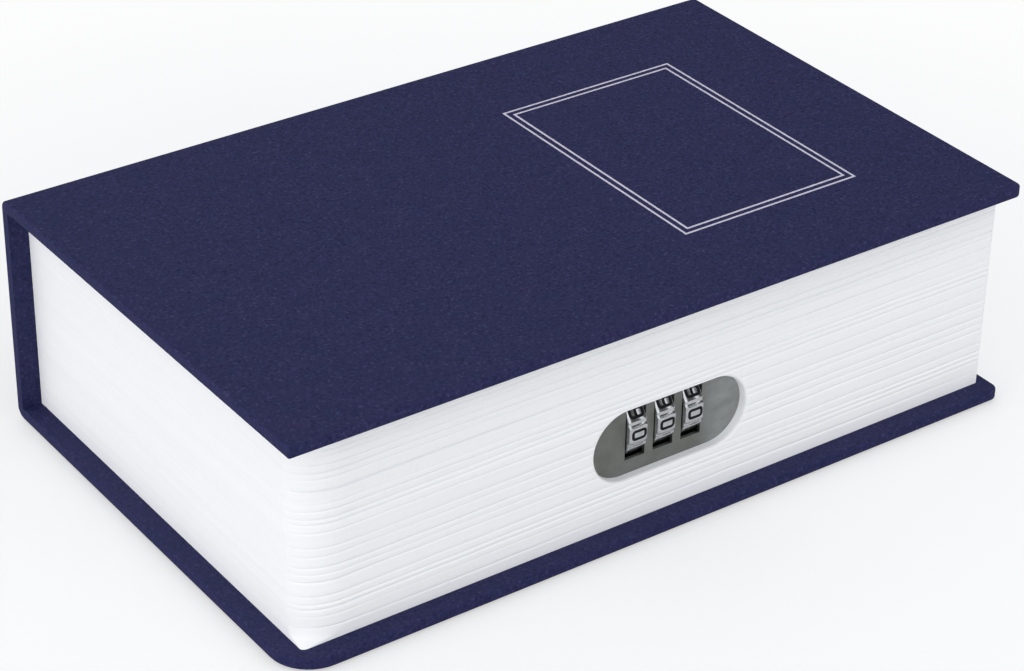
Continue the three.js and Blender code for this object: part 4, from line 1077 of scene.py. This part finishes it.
def make_floor():
    """A pale table that keeps the book's shadow and fades to white away from it."""
    mesh = bpy.data.meshes.new("floor")
    corners = [(-1, -1), (1, -1), (1, 1), (-1, 1)]
    mesh.from_pydata([(x * FLOOR_HALF, y * FLOOR_HALF, FLOOR_LEVEL) for x, y in corners], [], [(0, 1, 2, 3)])
    floor = bpy.data.objects.new("floor", mesh)
    bpy.context.collection.objects.link(floor)
    material, tree, shader = new_material("floor_look", Roughness=0.9, Specular_IOR_Level=0.1)
    tone = noise_node(tree, 3, 2.0, 0.5)
    giving = ramp(tree, tone.outputs["Fac"], [(0.3, (0.60, 0.60, 0.60)), (0.7, (0.62, 0.62, 0.62))])
    seen = ramp(tree, tone.outputs["Fac"], [(0.3, (0.97, 0.97, 0.97)), (0.7, (0.98, 0.98, 0.98))])
    rays = tree.nodes.new("ShaderNodeLightPath")
    colour = mix_colours(tree, rays.outputs["Is Camera Ray"], giving, seen)
    tree.links.new(colour, shader.inputs["Base Color"])
    place = tree.nodes.new("ShaderNodeTexCoord")
    far = step_node(tree, length_node(tree, place.outputs["Object"]), FADE_START, FADE_END)
    faded = math_node(tree, "MULTIPLY_ADD", far, 1 - FADE_LEAST, FADE_LEAST)
    share = math_node(tree, "MULTIPLY", faded, rays.outputs["Is Camera Ray"])
    white = tree.nodes.new("ShaderNodeEmission")
    blend = tree.nodes.new("ShaderNodeMixShader")
    tree.links.new(share, blend.inputs["Fac"])
    tree.links.new(shader.outputs[0], blend.inputs[1])
    tree.links.new(white.outputs[0], blend.inputs[2])
    tree.links.new(blend.outputs[0], tree.nodes["Material Output"].inputs["Surface"])
    mesh.materials.append(material)


def add_lamp(name, place, power):
    """A lamp aimed at the book, which metal doesn't mirror."""
    data = bpy.data.lights.new(name, "AREA")
    data.shape = "DISK"
    data.size = LAMP_SIZE
    data.energy = power
    light = bpy.data.objects.new(name, data)
    light.location = place
    light.rotation_mode = "QUATERNION"
    light.rotation_quaternion = (Vector(LAMP_AIM) - Vector(place)).to_track_quat("-Z", "Y")
    light.visible_glossy = False
    bpy.context.collection.objects.link(light)


def background(tree, colour, strength):
    """Light of one colour from all round. Its strength may be a socket."""
    node = tree.nodes.new("ShaderNodeBackground")
    node.inputs["Color"].default_value = (*colour, 1)
    if isinstance(strength, bpy.types.NodeSocket):
        tree.links.new(strength, node.inputs["Strength"])
    else:
        node.inputs["Strength"].default_value = strength
    return node.outputs[0]


def mirrored_room(tree):
    """What metal mirrors: soft boxes at the tail side and overhead, a dark room, one narrow lit strip."""
    x, y, z = coordinates(tree, "Generated")
    tail_side = step_node(tree, math_node(tree, "MULTIPLY", x, -1.0), *TAIL_SIDE_EDGE)
    overhead = step_node(tree, z, *OVERHEAD_EDGE)
    from_x, from_y = math_node(tree, "MULTIPLY", x, STRIP_Y), math_node(tree, "MULTIPLY", y, STRIP_X)
    off_strip = math_node(tree, "ABSOLUTE", math_node(tree, "ADD", from_x, from_y))
    strip = math_node(tree, "SUBTRACT", 1.0, step_node(tree, off_strip, *STRIP_EDGE))
    lit = math_node(tree, "MAXIMUM", math_node(tree, "MAXIMUM", tail_side, overhead), strip)
    return math_node(tree, "MULTIPLY_ADD", lit, ROOM_BRIGHT - ROOM_DARK, ROOM_DARK)


def make_world():
    """A soft sky, which the camera sees as plain white and metal as the room."""
    world = bpy.data.worlds.new("studio")
    bpy.context.scene.world = world
    world.use_nodes = True
    tree = world.node_tree
    tree.nodes.clear()
    output = tree.nodes.new("ShaderNodeOutputWorld")
    rays = tree.nodes.new("ShaderNodeLightPath")
    soft = background(tree, (0.96, 0.975, 1.0), SKY)
    seen = background(tree, (1, 1, 1), 1.0)
    mirrored = background(tree, (0.93, 0.96, 1.0), mirrored_room(tree))
    first = tree.nodes.new("ShaderNodeMixShader")
    second = tree.nodes.new("ShaderNodeMixShader")
    tree.links.new(rays.outputs["Is Glossy Ray"], first.inputs["Fac"])
    tree.links.new(soft, first.inputs[1])
    tree.links.new(mirrored, first.inputs[2])
    tree.links.new(rays.outputs["Is Camera Ray"], second.inputs["Fac"])
    tree.links.new(first.outputs[0], second.inputs[1])
    tree.links.new(seen, second.inputs[2])
    tree.links.new(second.outputs[0], output.inputs["Surface"])


make_floor()
make_world()
for name, (place, power) in LAMPS.items():
    add_lamp(name, place, power)
bpy.context.scene.view_settings.view_transform = "Standard"
